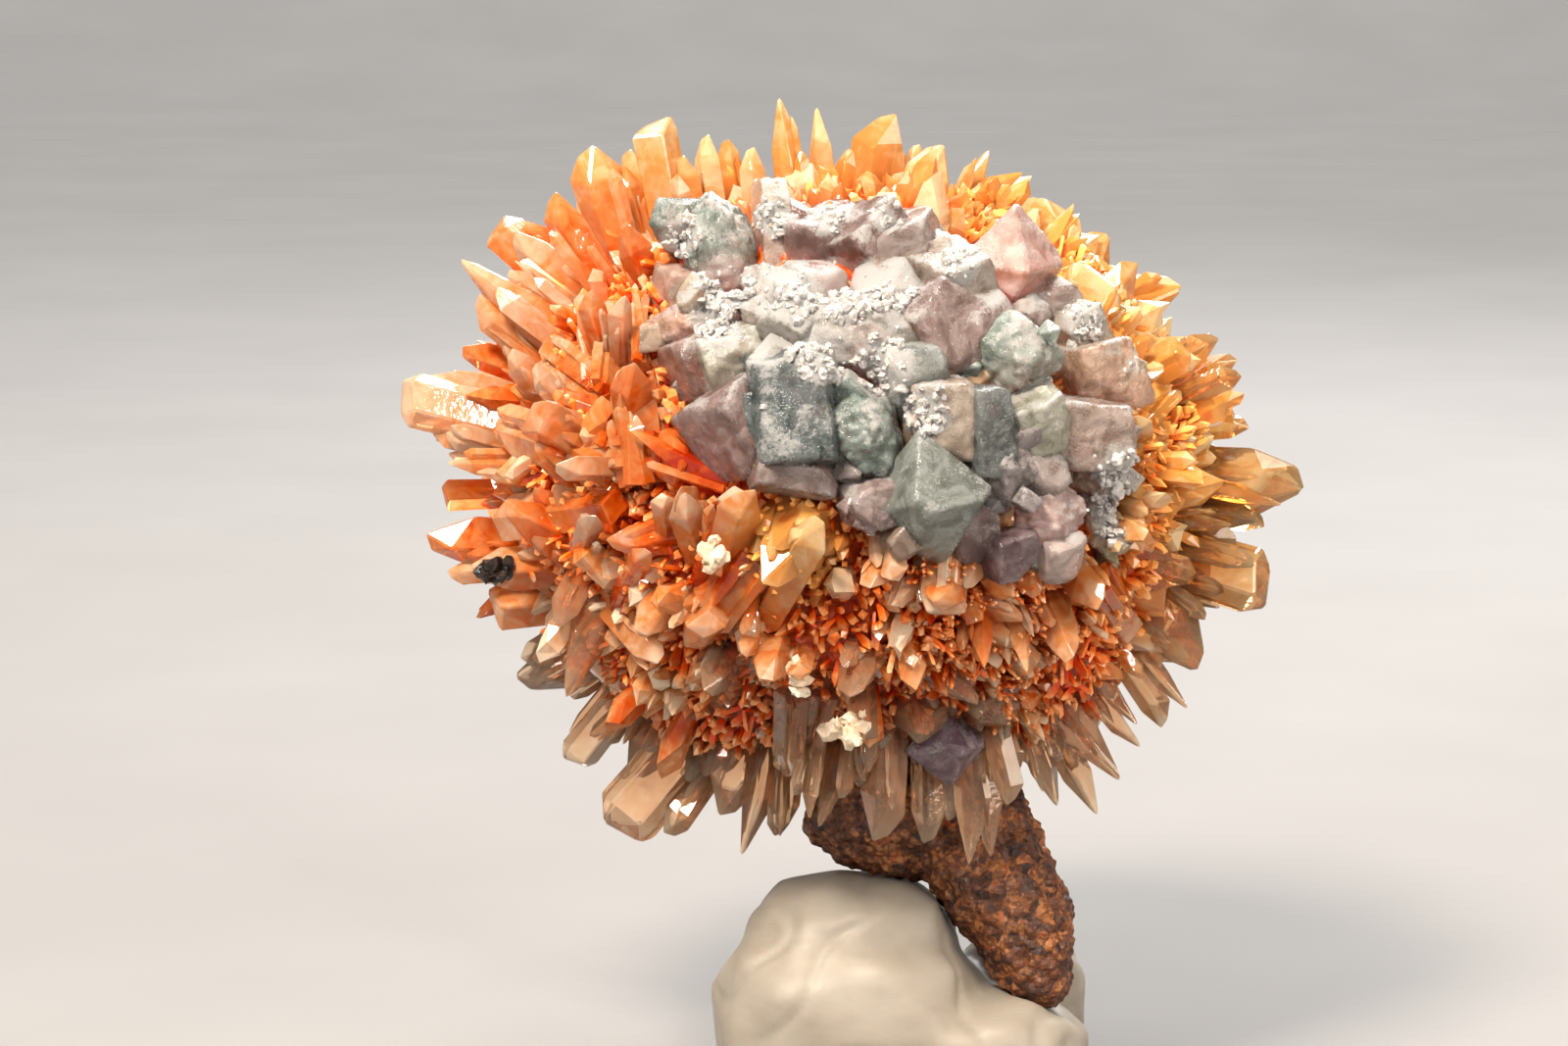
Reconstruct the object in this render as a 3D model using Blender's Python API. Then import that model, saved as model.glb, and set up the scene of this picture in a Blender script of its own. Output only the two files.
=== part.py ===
"""Creedite with fluorite: a ball of radiating creedite crystals that carries a cluster of fluorite, on a brown
matrix limb that is held in a lump of putty.

Metres, +Z up. The origin is on the putty's flat underside, straight below the ball's centre, and the front of
the specimen faces -Y. Shapes are worked out in millimetres and written to the meshes in metres.
"""

import math
import random
from collections import namedtuple

import bmesh
import bpy
from mathutils import Matrix, Vector, noise

MM = 0.001

# The ball: its middle above the surface, and the half sizes across, up and toward the front of the lumpy
# middle that the crystals stand on.
BALL_HEIGHT = 46.5
CORE_ACROSS = 25.0
CORE_UP = 21.0
CORE_TOWARD = 22.0
CORE_LUMPS = 2.2

# The front view, from which the front's crystals are described: how far it looks down on the ball, how far off
# the eye is, and where its axis passes the ball's centre.
VIEW_TILT = math.radians(10)
VIEW_DISTANCE = 333.0
EYE_ACROSS = -5.4
EYE_UP = -3.3

# Faces of one crystal that a Boolean parted are joined again where they turn less than this.
FLAT_WITHIN = math.radians(0.5)

# Neighbouring pieces keep this gap.
GAP = 0.33

# How far a creedite crystal goes into what it grows on.
EMBED = 3.5

# A crystal this wide has six sides, and a smaller one has four.
SIX_SIDED_FROM = 4.4

# The crystals of the sides, the back and the underside, which no list names.
SPREAD_SEED = 41
SPREAD_COUNT = 150
SPREAD_REACH = (2.5, 8.0)
SPREAD_WIDTH = (3.2, 6.0)

# On the front the spread crystals are short, and keep this far from the roots of the listed ones.
FRONT_REACH = (1.6, 3.6)
FRONT_CLEAR = 3.4

# No crystal is spread where the ball sits on its matrix: below this share of the way down.
UNDERSIDE = -0.88

# A listed crystal this wide has a smaller one grown against its side.
TWIN_FROM = 4.0

CENTRE = Vector((0, 0, BALL_HEIGHT))
RIGHT = Vector((1, 0, 0))
UP = Vector((0, math.sin(VIEW_TILT), math.cos(VIEW_TILT)))
TOWARD = Vector((0, -math.cos(VIEW_TILT), math.sin(VIEW_TILT)))

# A crystal of the front view. tip and root are (across, up) from the ball's centre, depth is how far toward
# the viewer its root is (on the core's skin where it is None), and lift is how much nearer the tip is.
Crystal = namedtuple("Crystal", "tip root width depth lift form")

SPIKE = "spike"
WEDGE = "wedge"
BLUNT = "blunt"

# For each form, in widths: how far the tip's facets run down the crystal, how wide it is where they start, and
# half the length of the ridge that they meet in.
FACET_DROP = {SPIKE: 1.5, WEDGE: 0.8, BLUNT: 0.3}
SHOULDER = {SPIKE: 0.78, WEDGE: 0.94, BLUNT: 1.0}
RIDGE = {SPIKE: 0.06, WEDGE: 0.16, BLUNT: 0.3}

# Also in widths: a crystal's thickness, and its width at the foot. It may be twisted this far, in radians.
THICKNESS = 0.72
FOOT = 0.86
TWIST = 0.6

LEFT_RIM = [
    Crystal((-27.5, 19.6), (-22.0, 14.5), 4.0, -8.0, -1.0, BLUNT),
    Crystal((-26.2, 18.8), (-20.5, 14.0), 3.0, -2.0, 0.0, WEDGE),
    Crystal((-30.3, 17.2), (-22.5, 10.8), 4.9, 3.0, 1.0, SPIKE),
    Crystal((-30.1, 10.1), (-24.5, 8.0), 2.6, 1.0, 1.0, WEDGE),
    Crystal((-32.9, 7.9), (-24.5, 6.2), 2.8, -4.0, 0.0, SPIKE),
    Crystal((-34.9, 6.4), (-25.0, 3.8), 4.4, 2.0, 1.0, BLUNT),
    Crystal((-31.3, 1.2), (-25.0, 1.0), 2.2, 5.0, 1.0, SPIKE),
    Crystal((-31.6, -1.2), (-25.0, -1.0), 2.6, -3.0, 0.0, BLUNT),
    Crystal((-32.9, -4.5), (-24.5, -4.8), 4.3, 1.0, 1.0, WEDGE),
    Crystal((-29.4, -7.1), (-21.5, -6.4), 3.8, 5.0, 1.0, WEDGE),
    Crystal((-28.0, -9.8), (-21.0, -9.2), 3.8, 0.0, 0.0, BLUNT),
    Crystal((-24.6, -14.0), (-20.0, -11.5), 2.4, -3.0, 0.0, WEDGE),
    Crystal((-25.3, -15.8), (-20.0, -13.0), 1.8, -6.0, 0.0, SPIKE),
    Crystal((-22.4, -16.9), (-18.6, -6.2), 5.0, 9.0, 1.5, SPIKE),
    Crystal((-21.7, -21.7), (-16.0, -14.5), 3.6, -4.0, -1.0, BLUNT),
    Crystal((-18.2, -19.0), (-15.5, -13.5), 3.2, 3.0, 0.0, WEDGE),
    Crystal((-16.8, -23.3), (-13.5, -16.5), 4.3, 0.0, 0.0, WEDGE),
    Crystal((-18.4, -26.9), (-10.5, -17.5), 5.4, 2.0, 2.0, BLUNT),
]

BOTTOM_RIM = [
    Crystal((-9.8, -25.9), (-8.6, -18.5), 4.2, 5.0, 1.0, WEDGE),
    Crystal((-8.2, -29.0), (-6.4, -18.5), 3.6, 0.0, 1.0, SPIKE),
    Crystal((-5.4, -26.8), (-4.4, -19.0), 2.4, -4.0, 0.0, WEDGE),
    Crystal((-2.5, -26.9), (-0.6, -18.5), 3.7, 8.0, 2.0, SPIKE),
    Crystal((-3.6, -26.0), (-2.6, -18.5), 2.0, 10.0, 1.0, SPIKE),
    Crystal((1.9, -27.8), (2.6, -18.0), 4.3, 9.0, 1.0, WEDGE),
    Crystal((5.8, -27.9), (5.6, -18.5), 3.2, 7.0, 1.0, WEDGE),
    Crystal((8.9, -29.6), (8.4, -18.0), 2.9, 8.0, 1.0, SPIKE),
    Crystal((10.7, -29.0), (9.4, -17.5), 3.1, 6.0, 1.0, SPIKE),
    Crystal((12.2, -24.8), (10.4, -17.5), 2.4, 9.0, 2.0, WEDGE),
    Crystal((15.6, -25.1), (12.6, -17.0), 3.2, 4.0, 1.0, SPIKE),
    Crystal((18.6, -25.8), (13.8, -16.0), 3.2, -2.0, 0.0, SPIKE),
]

RIGHT_RIM = [
    Crystal((20.3, -23.2), (14.6, -15.5), 3.8, 6.0, 1.0, SPIKE),
    Crystal((21.8, -20.6), (16.6, -14.5), 2.6, 1.0, 0.0, SPIKE),
    Crystal((21.8, -18.7), (17.2, -13.5), 2.2, 5.0, 1.0, SPIKE),
    Crystal((24.0, -18.7), (19.4, -12.0), 2.6, -3.0, 0.0, WEDGE),
    Crystal((25.5, -17.6), (20.4, -11.5), 2.0, 2.0, 0.0, SPIKE),
    Crystal((27.0, -14.0), (20.8, -8.6), 5.2, 3.0, 1.0, WEDGE),
    Crystal((32.0, -8.2), (23.6, -5.6), 5.4, 2.0, 2.0, BLUNT),
    Crystal((29.0, -3.4), (24.0, -3.0), 1.9, 5.0, 0.0, SPIKE),
    Crystal((34.6, -0.4), (24.6, 0.2), 5.7, 1.0, 1.0, WEDGE),
    Crystal((30.2, 4.4), (24.2, 3.8), 2.6, -4.0, 0.0, WEDGE),
    Crystal((27.6, 11.2), (22.4, 6.8), 2.6, 3.0, 1.0, WEDGE),
    Crystal((29.1, 9.6), (23.2, 6.2), 2.5, 1.0, 0.0, WEDGE),
    Crystal((29.5, 8.3), (23.2, 5.6), 2.2, 5.0, 1.0, WEDGE),
    Crystal((29.3, 6.6), (23.6, 4.8), 2.2, 0.0, 0.0, BLUNT),
    Crystal((25.5, 10.0), (20.4, 7.0), 3.2, 6.0, 2.0, BLUNT),
    Crystal((22.6, 10.9), (19.6, 8.4), 1.9, 8.0, 1.0, WEDGE),
    Crystal((21.2, 17.0), (17.4, 10.4), 4.3, 2.0, 1.0, WEDGE),
    Crystal((19.0, 19.2), (15.2, 12.0), 4.6, -2.0, 0.0, WEDGE),
]

TOP_RIM = [
    Crystal((13.0, 23.4), (6.4, 20.6), 2.3, -3.0, 0.0, SPIKE),
    Crystal((6.0, 25.9), (4.2, 18.0), 4.6, 2.0, 0.0, WEDGE),
    Crystal((2.1, 28.3), (0.6, 18.5), 4.3, -1.0, 1.0, WEDGE),
    Crystal((-3.0, 28.6), (-2.0, 19.0), 2.6, -4.0, 0.0, SPIKE),
    Crystal((-5.8, 29.4), (-4.6, 19.0), 3.3, 0.0, 1.0, SPIKE),
    Crystal((-8.0, 25.5), (-7.4, 18.5), 2.2, 3.0, 0.0, WEDGE),
    Crystal((-9.9, 26.1), (-8.6, 18.5), 2.2, -3.0, 0.0, WEDGE),
    Crystal((-11.6, 26.4), (-10.2, 17.5), 2.4, 1.0, 0.0, WEDGE),
    Crystal((-15.5, 27.6), (-13.4, 16.5), 4.2, 1.0, 1.0, BLUNT),
    Crystal((-17.4, 25.3), (-15.0, 15.5), 2.8, -4.0, 0.0, WEDGE),
    Crystal((-20.5, 25.6), (-17.0, 15.0), 4.6, 0.0, 1.0, WEDGE),
    Crystal((-23.4, 21.8), (-18.6, 14.0), 3.2, 4.0, 0.0, WEDGE),
]

FACE = [
    Crystal((-17.6, 19.5), (-15.4, 14.2), 3.0, None, 3.0, WEDGE),
    Crystal((-20.5, 14.5), (-18.8, 9.0), 2.3, None, 3.5, WEDGE),
    Crystal((-18.0, 14.0), (-17.8, 9.0), 2.2, None, 4.0, WEDGE),
    Crystal((-26.6, 9.8), (-22.8, 5.5), 2.4, None, 3.0, WEDGE),
    Crystal((-24.8, 8.6), (-21.4, 4.8), 2.0, None, 3.0, WEDGE),
    Crystal((-17.4, 9.0), (-16.6, 3.4), 3.4, None, 4.5, WEDGE),
    Crystal((-24.8, 5.2), (-20.0, 2.0), 4.0, None, 4.0, BLUNT),
    Crystal((-23.0, 0.9), (-17.6, 0.8), 2.3, None, 4.5, WEDGE),
    Crystal((-27.0, -2.0), (-21.5, -4.8), 3.6, None, 3.5, WEDGE),
    Crystal((-14.4, -2.0), (-13.8, -4.2), 1.8, None, 4.5, WEDGE),
    Crystal((-13.4, -0.6), (-11.8, -3.6), 2.8, None, 4.5, WEDGE),
    Crystal((-9.4, -0.9), (-8.8, -4.2), 2.4, None, 4.0, BLUNT),
    Crystal((-11.0, -6.6), (-10.2, -5.2), 2.4, None, 4.5, BLUNT),
    Crystal((-5.2, -7.8), (-4.6, -2.4), 7.0, None, 3.0, BLUNT),
    Crystal((-11.6, -11.4), (-10.4, -9.2), 3.2, None, 4.5, BLUNT),
    Crystal((-16.4, -12.0), (-13.6, -8.4), 3.4, None, 4.0, WEDGE),
    Crystal((-7.0, -15.4), (-6.0, -12.0), 3.6, None, 5.0, WEDGE),
    Crystal((-4.3, -14.9), (-3.6, -12.6), 1.8, None, 6.0, BLUNT),
    Crystal((0.1, -16.6), (0.2, -12.8), 3.2, None, 5.0, WEDGE),
    Crystal((0.6, -19.6), (0.6, -15.6), 2.6, None, 5.0, BLUNT),
    Crystal((7.0, -9.6), (6.8, -6.2), 3.2, None, 4.0, BLUNT),
    Crystal((9.8, -14.4), (9.6, -9.2), 2.2, None, 4.0, SPIKE),
    Crystal((13.4, -14.8), (12.0, -9.4), 2.2, None, 4.0, SPIKE),
    Crystal((16.6, -13.9), (14.6, -9.0), 2.6, None, 4.0, WEDGE),
    Crystal((18.8, -9.8), (16.2, -6.4), 3.0, None, 4.0, WEDGE),
    Crystal((22.4, -4.4), (19.2, -2.8), 2.8, None, 4.5, WEDGE),
    Crystal((22.6, 4.6), (20.2, 3.0), 2.8, None, 3.5, WEDGE),
    Crystal((-11.4, -16.4), (-9.4, -12.8), 3.0, None, 4.5, WEDGE),
]

# A fluorite crystal of the front view: where its middle is seen, its size across, up and in depth, how far its
# middle stands out from the core's skin, its shape, and how far it is turned about each view axis in degrees.
Fluorite = namedtuple("Fluorite", "at size proud form turn")

# A cut cube keeps this share of its half sides where every other corner is cut off.
CORNER_KEPT = 0.4

CUBE = "cube"
CUT_CUBE = "cut cube"
OCTAHEDRON = "octahedron"
LUMP = "lump"

FLUORITES = [
    Fluorite((-10.1, 18.2), (6.0, 9.6, 7.5), 1.0, LUMP, (0, 0, 8)),
    Fluorite((-6.4, 18.6), (2.4, 8.4, 6.5), 2.0, CUT_CUBE, (0, 10, 4)),
    Fluorite((-2.6, 17.6), (6.4, 6.8, 7.0), -0.5, CUT_CUBE, (20, 15, 10)),
    Fluorite((1.2, 17.4), (5.4, 6.0, 6.5), 0.5, CUBE, (25, 30, 50)),
    Fluorite((4.2, 17.0), (4.8, 6.2, 7.0), 1.0, CUT_CUBE, (15, -20, 12)),
    Fluorite((7.0, 14.8), (4.6, 5.6, 7.0), 1.4, CUBE, (30, 25, 20)),
    Fluorite((11.6, 16.8), (9.6, 9.8, 9.6), 2.6, OCTAHEDRON, (12, 18, 0)),
    Fluorite((5.8, 11.4), (6.2, 6.6, 7.0), 0.6, CUT_CUBE, (10, 30, 35)),
    Fluorite((0.0, 11.0), (12.4, 7.6, 7.4), 2.2, CUT_CUBE, (-16, 8, -4)),
    Fluorite((-9.2, 9.0), (5.2, 5.0, 6.0), 1.6, CUT_CUBE, (20, 10, 15)),
    Fluorite((-4.6, 5.4), (6.6, 8.6, 7.4), 2.2, CUT_CUBE, (-8, -14, 6)),
    Fluorite((-8.6, 4.4), (6.0, 6.6, 6.6), 1.2, CUBE, (15, 35, 40)),
    Fluorite((-12.0, 8.4), (3.6, 5.0, 5.6), 1.4, CUT_CUBE, (5, 20, 25)),
    Fluorite((-12.6, 11.8), (7.4, 4.4, 6.0), 1.0, LUMP, (0, 0, 10)),
    Fluorite((0.8, 3.6), (6.4, 7.8, 7.4), 2.0, LUMP, (0, 0, 12)),
    Fluorite((6.4, 4.6), (4.6, 5.8, 6.6), 2.0, CUT_CUBE, (10, 20, 8)),
    Fluorite((8.9, 3.8), (3.4, 6.6, 7.4), 1.6, CUBE, (5, 30, 4)),
    Fluorite((5.7, -1.4), (9.6, 9.6, 9.0), 2.8, OCTAHEDRON, (14, -16, 4)),
    Fluorite((11.2, 1.0), (5.8, 7.4, 7.2), 1.8, LUMP, (0, 0, -10)),
    Fluorite((12.0, 9.2), (8.4, 8.4, 8.0), 1.8, CUT_CUBE, (18, 24, 12)),
    Fluorite((13.4, 5.0), (4.8, 4.2, 6.4), 2.4, CUT_CUBE, (25, 10, 20)),
    Fluorite((16.6, 11.0), (3.6, 4.4, 6.0), 1.2, CUBE, (20, 20, 30)),
    Fluorite((18.4, 8.0), (6.0, 5.2, 6.4), 1.4, CUT_CUBE, (10, 30, 14)),
    Fluorite((17.4, 3.4), (7.4, 5.4, 6.6), 2.0, CUT_CUBE, (8, 20, -6)),
    Fluorite((18.2, 0.4), (5.8, 3.8, 5.6), 1.2, LUMP, (0, 0, -8)),
    Fluorite((14.2, -3.0), (7.4, 7.2, 7.0), 1.6, CUT_CUBE, (20, 12, 24)),
    Fluorite((11.0, -5.2), (3.6, 3.4, 5.6), 1.8, CUBE, (25, 30, 15)),
    Fluorite((18.6, -3.0), (3.2, 7.6, 5.0), 0.6, LUMP, (0, 0, 14)),
    Fluorite((1.0, -1.6), (3.8, 3.4, 6.0), 1.4, CUT_CUBE, (15, 15, 20)),
    Fluorite((3.6, -4.0), (3.6, 2.8, 6.0), 1.4, CUT_CUBE, (20, 10, 30)),
    Fluorite((-4.8, 0.6), (6.2, 3.2, 6.0), 1.2, CUT_CUBE, (8, 12, -6)),
]

PURPLE_FLUORITE = Fluorite((7.1, -20.4), (7.4, 6.4, 6.6), 9.6, OCTAHEDRON, (10, 20, 8))

# A rounded lump: middle (across, up, toward) from the ball's centre, and half sizes.
Lump = namedtuple("Lump", "middle half")

# The brown matrix: the boss under the ball, and the limb's line with its radius, from the boss into the putty.
MATRIX_BOSS = Lump((4.6, -25.0, -1.0), (8.6, 5.8, 6.2))
MATRIX_LIMB = [
    ((7.0, -25.5, -0.5), 5.0),
    ((9.4, -28.4, 0.5), 4.9),
    ((11.4, -31.4, 1.4), 4.5),
    ((13.2, -34.2, 2.0), 3.8),
    ((13.9, -37.0, 2.4), 3.3),
    ((14.2, -39.0, 2.6), 2.5),
    ((14.2, -40.4, 2.6), 1.2),
]
LIMB_SIDES = 12
MATRIX_ROUGHNESS = 0.9

# The putty, as kneaded lumps. It is cut flat at the surface.
PUTTY_LUMPS = [
    Lump((-0.4, -42.0, 0.0), (10.8, 9.4, 10.0)),
    Lump((-0.2, -36.2, -1.0), (8.6, 6.6, 8.4)),
    Lump((9.6, -44.2, 0.6), (8.6, 5.6, 9.2)),
    Lump((12.4, -40.4, -5.4), (5.6, 6.6, 4.6)),
]
PUTTY_DENTS = 0.6


def clear_scene():
    """Removes the startup scene's objects."""
    for old in list(bpy.data.objects):
        bpy.data.objects.remove(old, do_unlink=True)


def seen(across, up, toward):
    """The point that the front view shows at (across, up), this far nearer to the viewer than the centre."""
    nearer = toward / VIEW_DISTANCE
    sideways = across + (EYE_ACROSS - across) * nearer
    upward = up + (EYE_UP - up) * nearer
    return CENTRE + RIGHT * sideways + UP * upward + TOWARD * toward


def skin_depth(across, up):
    """How far toward the viewer the core's skin is there, 0 at its rim and outside it."""
    inside = 1 - (across / CORE_ACROSS) ** 2 - (up / CORE_UP) ** 2
    return CORE_TOWARD * math.sqrt(max(inside, 0))


def convex_shell(points):
    """The closed convex shell around the points, as a bmesh with triangles that face out."""
    shell = bmesh.new()
    for point in points:
        shell.verts.new(point)
    hull = bmesh.ops.convex_hull(shell, input=shell.verts)
    inner = hull["geom_interior"] + hull["geom_unused"]
    loose = {part for part in inner if isinstance(part, bmesh.types.BMVert)}
    bmesh.ops.delete(shell, geom=list(loose), context="VERTS")
    bmesh.ops.recalc_face_normals(shell, faces=shell.faces)
    return shell


def section_of(width):
    """The corners of a crystal's cross-section: four on a small crystal and six on a large one."""
    thick = width * THICKNESS
    if width < SIX_SIDED_FROM:
        side, front = width * 0.06, thick * 0.5
        return [(width * 0.5, 0), (side, front), (-width * 0.5, 0), (-side, -front)]
    return [
        (width * 0.5, 0),
        (width * 0.24, thick * 0.5),
        (-width * 0.26, thick * 0.48),
        (-width * 0.5, 0),
        (-width * 0.22, -thick * 0.5),
        (width * 0.28, -thick * 0.46),
    ]


def crystal_points(root, tip, width, form, chance, grow=0.0):
    """The corners of one creedite crystal from root to tip, with its section's width across the view.

    grow makes it that much larger on every side.
    """
    axis = (tip - root).normalized()
    across = axis.cross(TOWARD)
    if across.length < 0.2:
        across = axis.cross(UP)
    across.normalize()
    twist = Matrix.Rotation(chance.uniform(-TWIST, TWIST), 3, axis)
    across = twist @ across
    thick = axis.cross(across)
    start = root - axis * (EMBED + grow)
    end = tip + axis * grow
    length = (end - start).length
    narrow = SHOULDER[form]
    points = []
    for x, y in section_of(width + 2 * grow):
        points.append(start + across * (x * FOOT) + thick * (y * FOOT))
        drop = width * FACET_DROP[form] * chance.uniform(0.55, 1.15)
        shoulder = start + axis * max(length - drop, length * 0.35)
        points.append(shoulder + across * (x * narrow) + thick * (y * narrow))
    ridge = RIDGE[form] * width
    lean = chance.uniform(-0.12, 0.12) * width
    points.append(end + across * (lean + ridge))
    points.append(end + across * (lean - ridge) - axis * (0.12 * width))
    if form == BLUNT:
        points.append(end + thick * ridge - axis * (0.1 * width))
    return points


def listed_crystals(grow=0.0):
    """The corners of each crystal that the lists name."""
    for number, crystal in enumerate(LEFT_RIM + BOTTOM_RIM + RIGHT_RIM + TOP_RIM + FACE):
        chance = random.Random(number)
        depth = crystal.depth
        if depth is None:
            depth = skin_depth(*crystal.root)
        root = seen(*crystal.root, depth)
        tip = seen(*crystal.tip, depth + crystal.lift)
        yield crystal_points(root, tip, crystal.width, crystal.form, chance, grow)
        if crystal.width >= TWIN_FROM:
            side = (tip - root).cross(TOWARD).normalized() * crystal.width * chance.choice((-0.42, 0.42))
            shorter = root.lerp(tip, chance.uniform(0.55, 0.8))
            yield crystal_points(root + side, shorter + side, crystal.width * 0.6, WEDGE, chance, grow)


def listed_roots():
    """Where the front's listed crystals and fluorites stand on the skin: across, up and toward the viewer."""
    places = [crystal.root for crystal in FACE] + [crystal.at for crystal in FLUORITES]
    return [Vector((*place, skin_depth(*place))) for place in places]


def spread_crystals(grow=0.0):
    """The corners of each crystal that no list names, spread over the ball by the golden angle."""
    golden = math.pi * (3 - math.sqrt(5))
    taken = listed_roots()
    for number in range(SPREAD_COUNT):
        chance = random.Random(SPREAD_SEED + number)
        up = 1 - 2 * (number + 0.5) / SPREAD_COUNT
        ring = math.sqrt(1 - up * up)
        way = Vector((ring * math.cos(golden * number), up, ring * math.sin(golden * number)))
        way += Vector(chance.uniform(-0.07, 0.07) for _ in range(3))
        way.normalize()
        reach = chance.uniform(*SPREAD_REACH)
        width = chance.uniform(*SPREAD_WIDTH)
        lean = Vector(chance.uniform(-0.25, 0.25) for _ in range(3))
        form = chance.choice((SPIKE, WEDGE, WEDGE, BLUNT))
        if way.y < UNDERSIDE:
            continue
        skin = 1 / math.sqrt((way.x / CORE_ACROSS) ** 2 + (way.y / CORE_UP) ** 2 + (way.z / CORE_TOWARD) ** 2)
        foot = way * (skin - 0.5)
        if way.z > 0:
            reach = chance.uniform(*FRONT_REACH)
            if min((foot - root).length for root in taken) < FRONT_CLEAR:
                continue
        head = foot + (way + lean).normalized() * reach
        root = CENTRE + RIGHT * foot.x + UP * foot.y + TOWARD * foot.z
        tip = CENTRE + RIGHT * head.x + UP * head.y + TOWARD * head.z
        yield crystal_points(root, tip, width, form, chance, grow)


def fluorite_points(crystal, grow=0.0):
    """The corners of one fluorite crystal, grow larger on every side."""
    middle = seen(*crystal.at, skin_depth(*crystal.at) + crystal.proud)
    half = [size / 2 + grow for size in crystal.size]
    if crystal.form == OCTAHEDRON:
        corners = [Vector((s, 0, 0)) for s in (-1, 1)] + [Vector((0, s, 0)) for s in (-1, 1)]
        corners += [Vector((0, 0, s)) for s in (-1, 1)]
        half = [size + grow * 0.7 for size in half]
    elif crystal.form == LUMP:
        round_shape = bmesh.new()
        bmesh.ops.create_icosphere(round_shape, subdivisions=1, radius=1)
        corners = [vert.co.copy() for vert in round_shape.verts]
        round_shape.free()
    else:
        signs = [(x, y, z) for x in (-1, 1) for y in (-1, 1) for z in (-1, 1)]
        corners = []
        for x, y, z in signs:
            keep = CORNER_KEPT if crystal.form == CUT_CUBE and x * y * z > 0 else 1
            corners += [Vector((x * keep, y, z)), Vector((x, y * keep, z)), Vector((x, y, z * keep))]
    turn = Matrix.Rotation(math.radians(crystal.turn[0]), 3, "X")
    turn = Matrix.Rotation(math.radians(crystal.turn[1]), 3, "Y") @ turn
    turn = Matrix.Rotation(math.radians(crystal.turn[2]), 3, "Z") @ turn
    points = []
    for corner in corners:
        placed = turn @ Vector(c * h for c, h in zip(corner, half))
        points.append(middle + RIGHT * placed.x + UP * placed.y + TOWARD * placed.z)
    return points


def lump_shell(lump, detail, roughness, scale, grow=0.0, box=1.0):
    """A rounded lump with an uneven skin. box below 1 makes it fuller at its corners, as kneaded putty is."""
    shell = bmesh.new()
    bmesh.ops.create_icosphere(shell, subdivisions=detail, radius=1)
    middle = seen(*lump.middle)
    for vert in shell.verts:
        way = vert.co.normalized()
        full = [math.copysign(abs(part) ** box, part) for part in way]
        place = Vector(part * (half + grow) for part, half in zip(full, lump.half))
        place += way * roughness * noise.noise((middle + place) / scale)
        vert.co = middle + RIGHT * place.x + UP * place.y + TOWARD * place.z
    bmesh.ops.recalc_face_normals(shell, faces=shell.faces)
    return shell


def object_from(name, shell):
    """An object whose mesh is the shell, in metres."""
    mesh = bpy.data.meshes.new(name)
    bmesh.ops.transform(shell, matrix=Matrix.Scale(MM, 4), verts=shell.verts)
    shell.to_mesh(mesh)
    shell.free()
    return bpy.data.objects.new(name, mesh)


def piece_from(name, shell):
    """An object of the scene, made from the shell."""
    made = object_from(name, shell)
    bpy.context.scene.collection.objects.link(made)
    return made


def helpers_from(name, shells):
    """A collection of hidden objects, one for each shell, that a Boolean joins to a piece or cuts from one."""
    helpers = bpy.data.collections.new(name)
    helpers.hide_render = True
    bpy.context.scene.collection.children.link(helpers)
    for shell in shells:
        helper = object_from(name, shell)
        helper.hide_render = True
        helper.display_type = "WIRE"
        helpers.objects.link(helper)
    return helpers


def combine(piece, helpers, operation):
    """Joins the helpers to the piece or cuts them out. So many crossing crystals need the MANIFOLD solver."""
    boolean = piece.modifiers.new(helpers.name, "BOOLEAN")
    boolean.operation = operation
    boolean.solver = "MANIFOLD"
    boolean.operand_type = "COLLECTION"
    boolean.collection = helpers


def body_of(start):
    """All the faces that hang together with this one."""
    found = {start}
    waiting = [start]
    while waiting:
        face = waiting.pop()
        for edge in face.edges:
            for neighbour in edge.link_faces:
                if neighbour not in found:
                    found.add(neighbour)
                    waiting.append(neighbour)
    return found


def settle(piece):
    """Applies the piece's Booleans and drops chips and closed pockets that they cut off, and the helpers."""
    evaluated = piece.evaluated_get(bpy.context.evaluated_depsgraph_get())
    mesh = bpy.data.meshes.new_from_object(evaluated)
    collections = [modifier.collection for modifier in piece.modifiers]
    piece.modifiers.clear()
    piece.data = mesh
    for helpers in collections:
        for helper in list(helpers.objects):
            bpy.data.objects.remove(helper, do_unlink=True)
        bpy.data.collections.remove(helpers)
    shape = bmesh.new()
    shape.from_mesh(mesh)
    left = set(shape.faces)
    bodies = []
    while left:
        bodies.append(body_of(next(iter(left))))
        left -= bodies[-1]
    bodies.sort(key=lambda body: sum(face.calc_area() for face in body))
    for body in bodies[:-1]:
        bmesh.ops.delete(shape, geom=list(body), context="FACES")
    bmesh.ops.dissolve_limit(shape, angle_limit=FLAT_WITHIN, verts=shape.verts, edges=shape.edges)
    bmesh.ops.triangulate(shape, faces=shape.faces)
    shape.to_mesh(mesh)
    shape.free()


def finish(piece, colour, roughness, transmission=0.0):
    """Gives the piece its material."""
    material = bpy.data.materials.new(piece.name)
    material.use_nodes = True
    shader = material.node_tree.nodes["Principled BSDF"]
    shader.inputs["Base Color"].default_value = (*colour, 1)
    shader.inputs["Roughness"].default_value = roughness
    shader.inputs["Metallic"].default_value = 0.0
    shader.inputs["Transmission Weight"].default_value = transmission
    piece.data.materials.clear()
    piece.data.materials.append(material)


def core_shell():
    """The lumpy middle of the ball."""
    return lump_shell(Lump((0, 0, 0), (CORE_ACROSS, CORE_UP, CORE_TOWARD)), 2, CORE_LUMPS, 6.0)


def fluorite_shells(grow=0.0):
    return [convex_shell(fluorite_points(crystal, grow)) for crystal in FLUORITES]


def purple_shell(grow=0.0):
    return convex_shell(fluorite_points(PURPLE_FLUORITE, grow))


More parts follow.
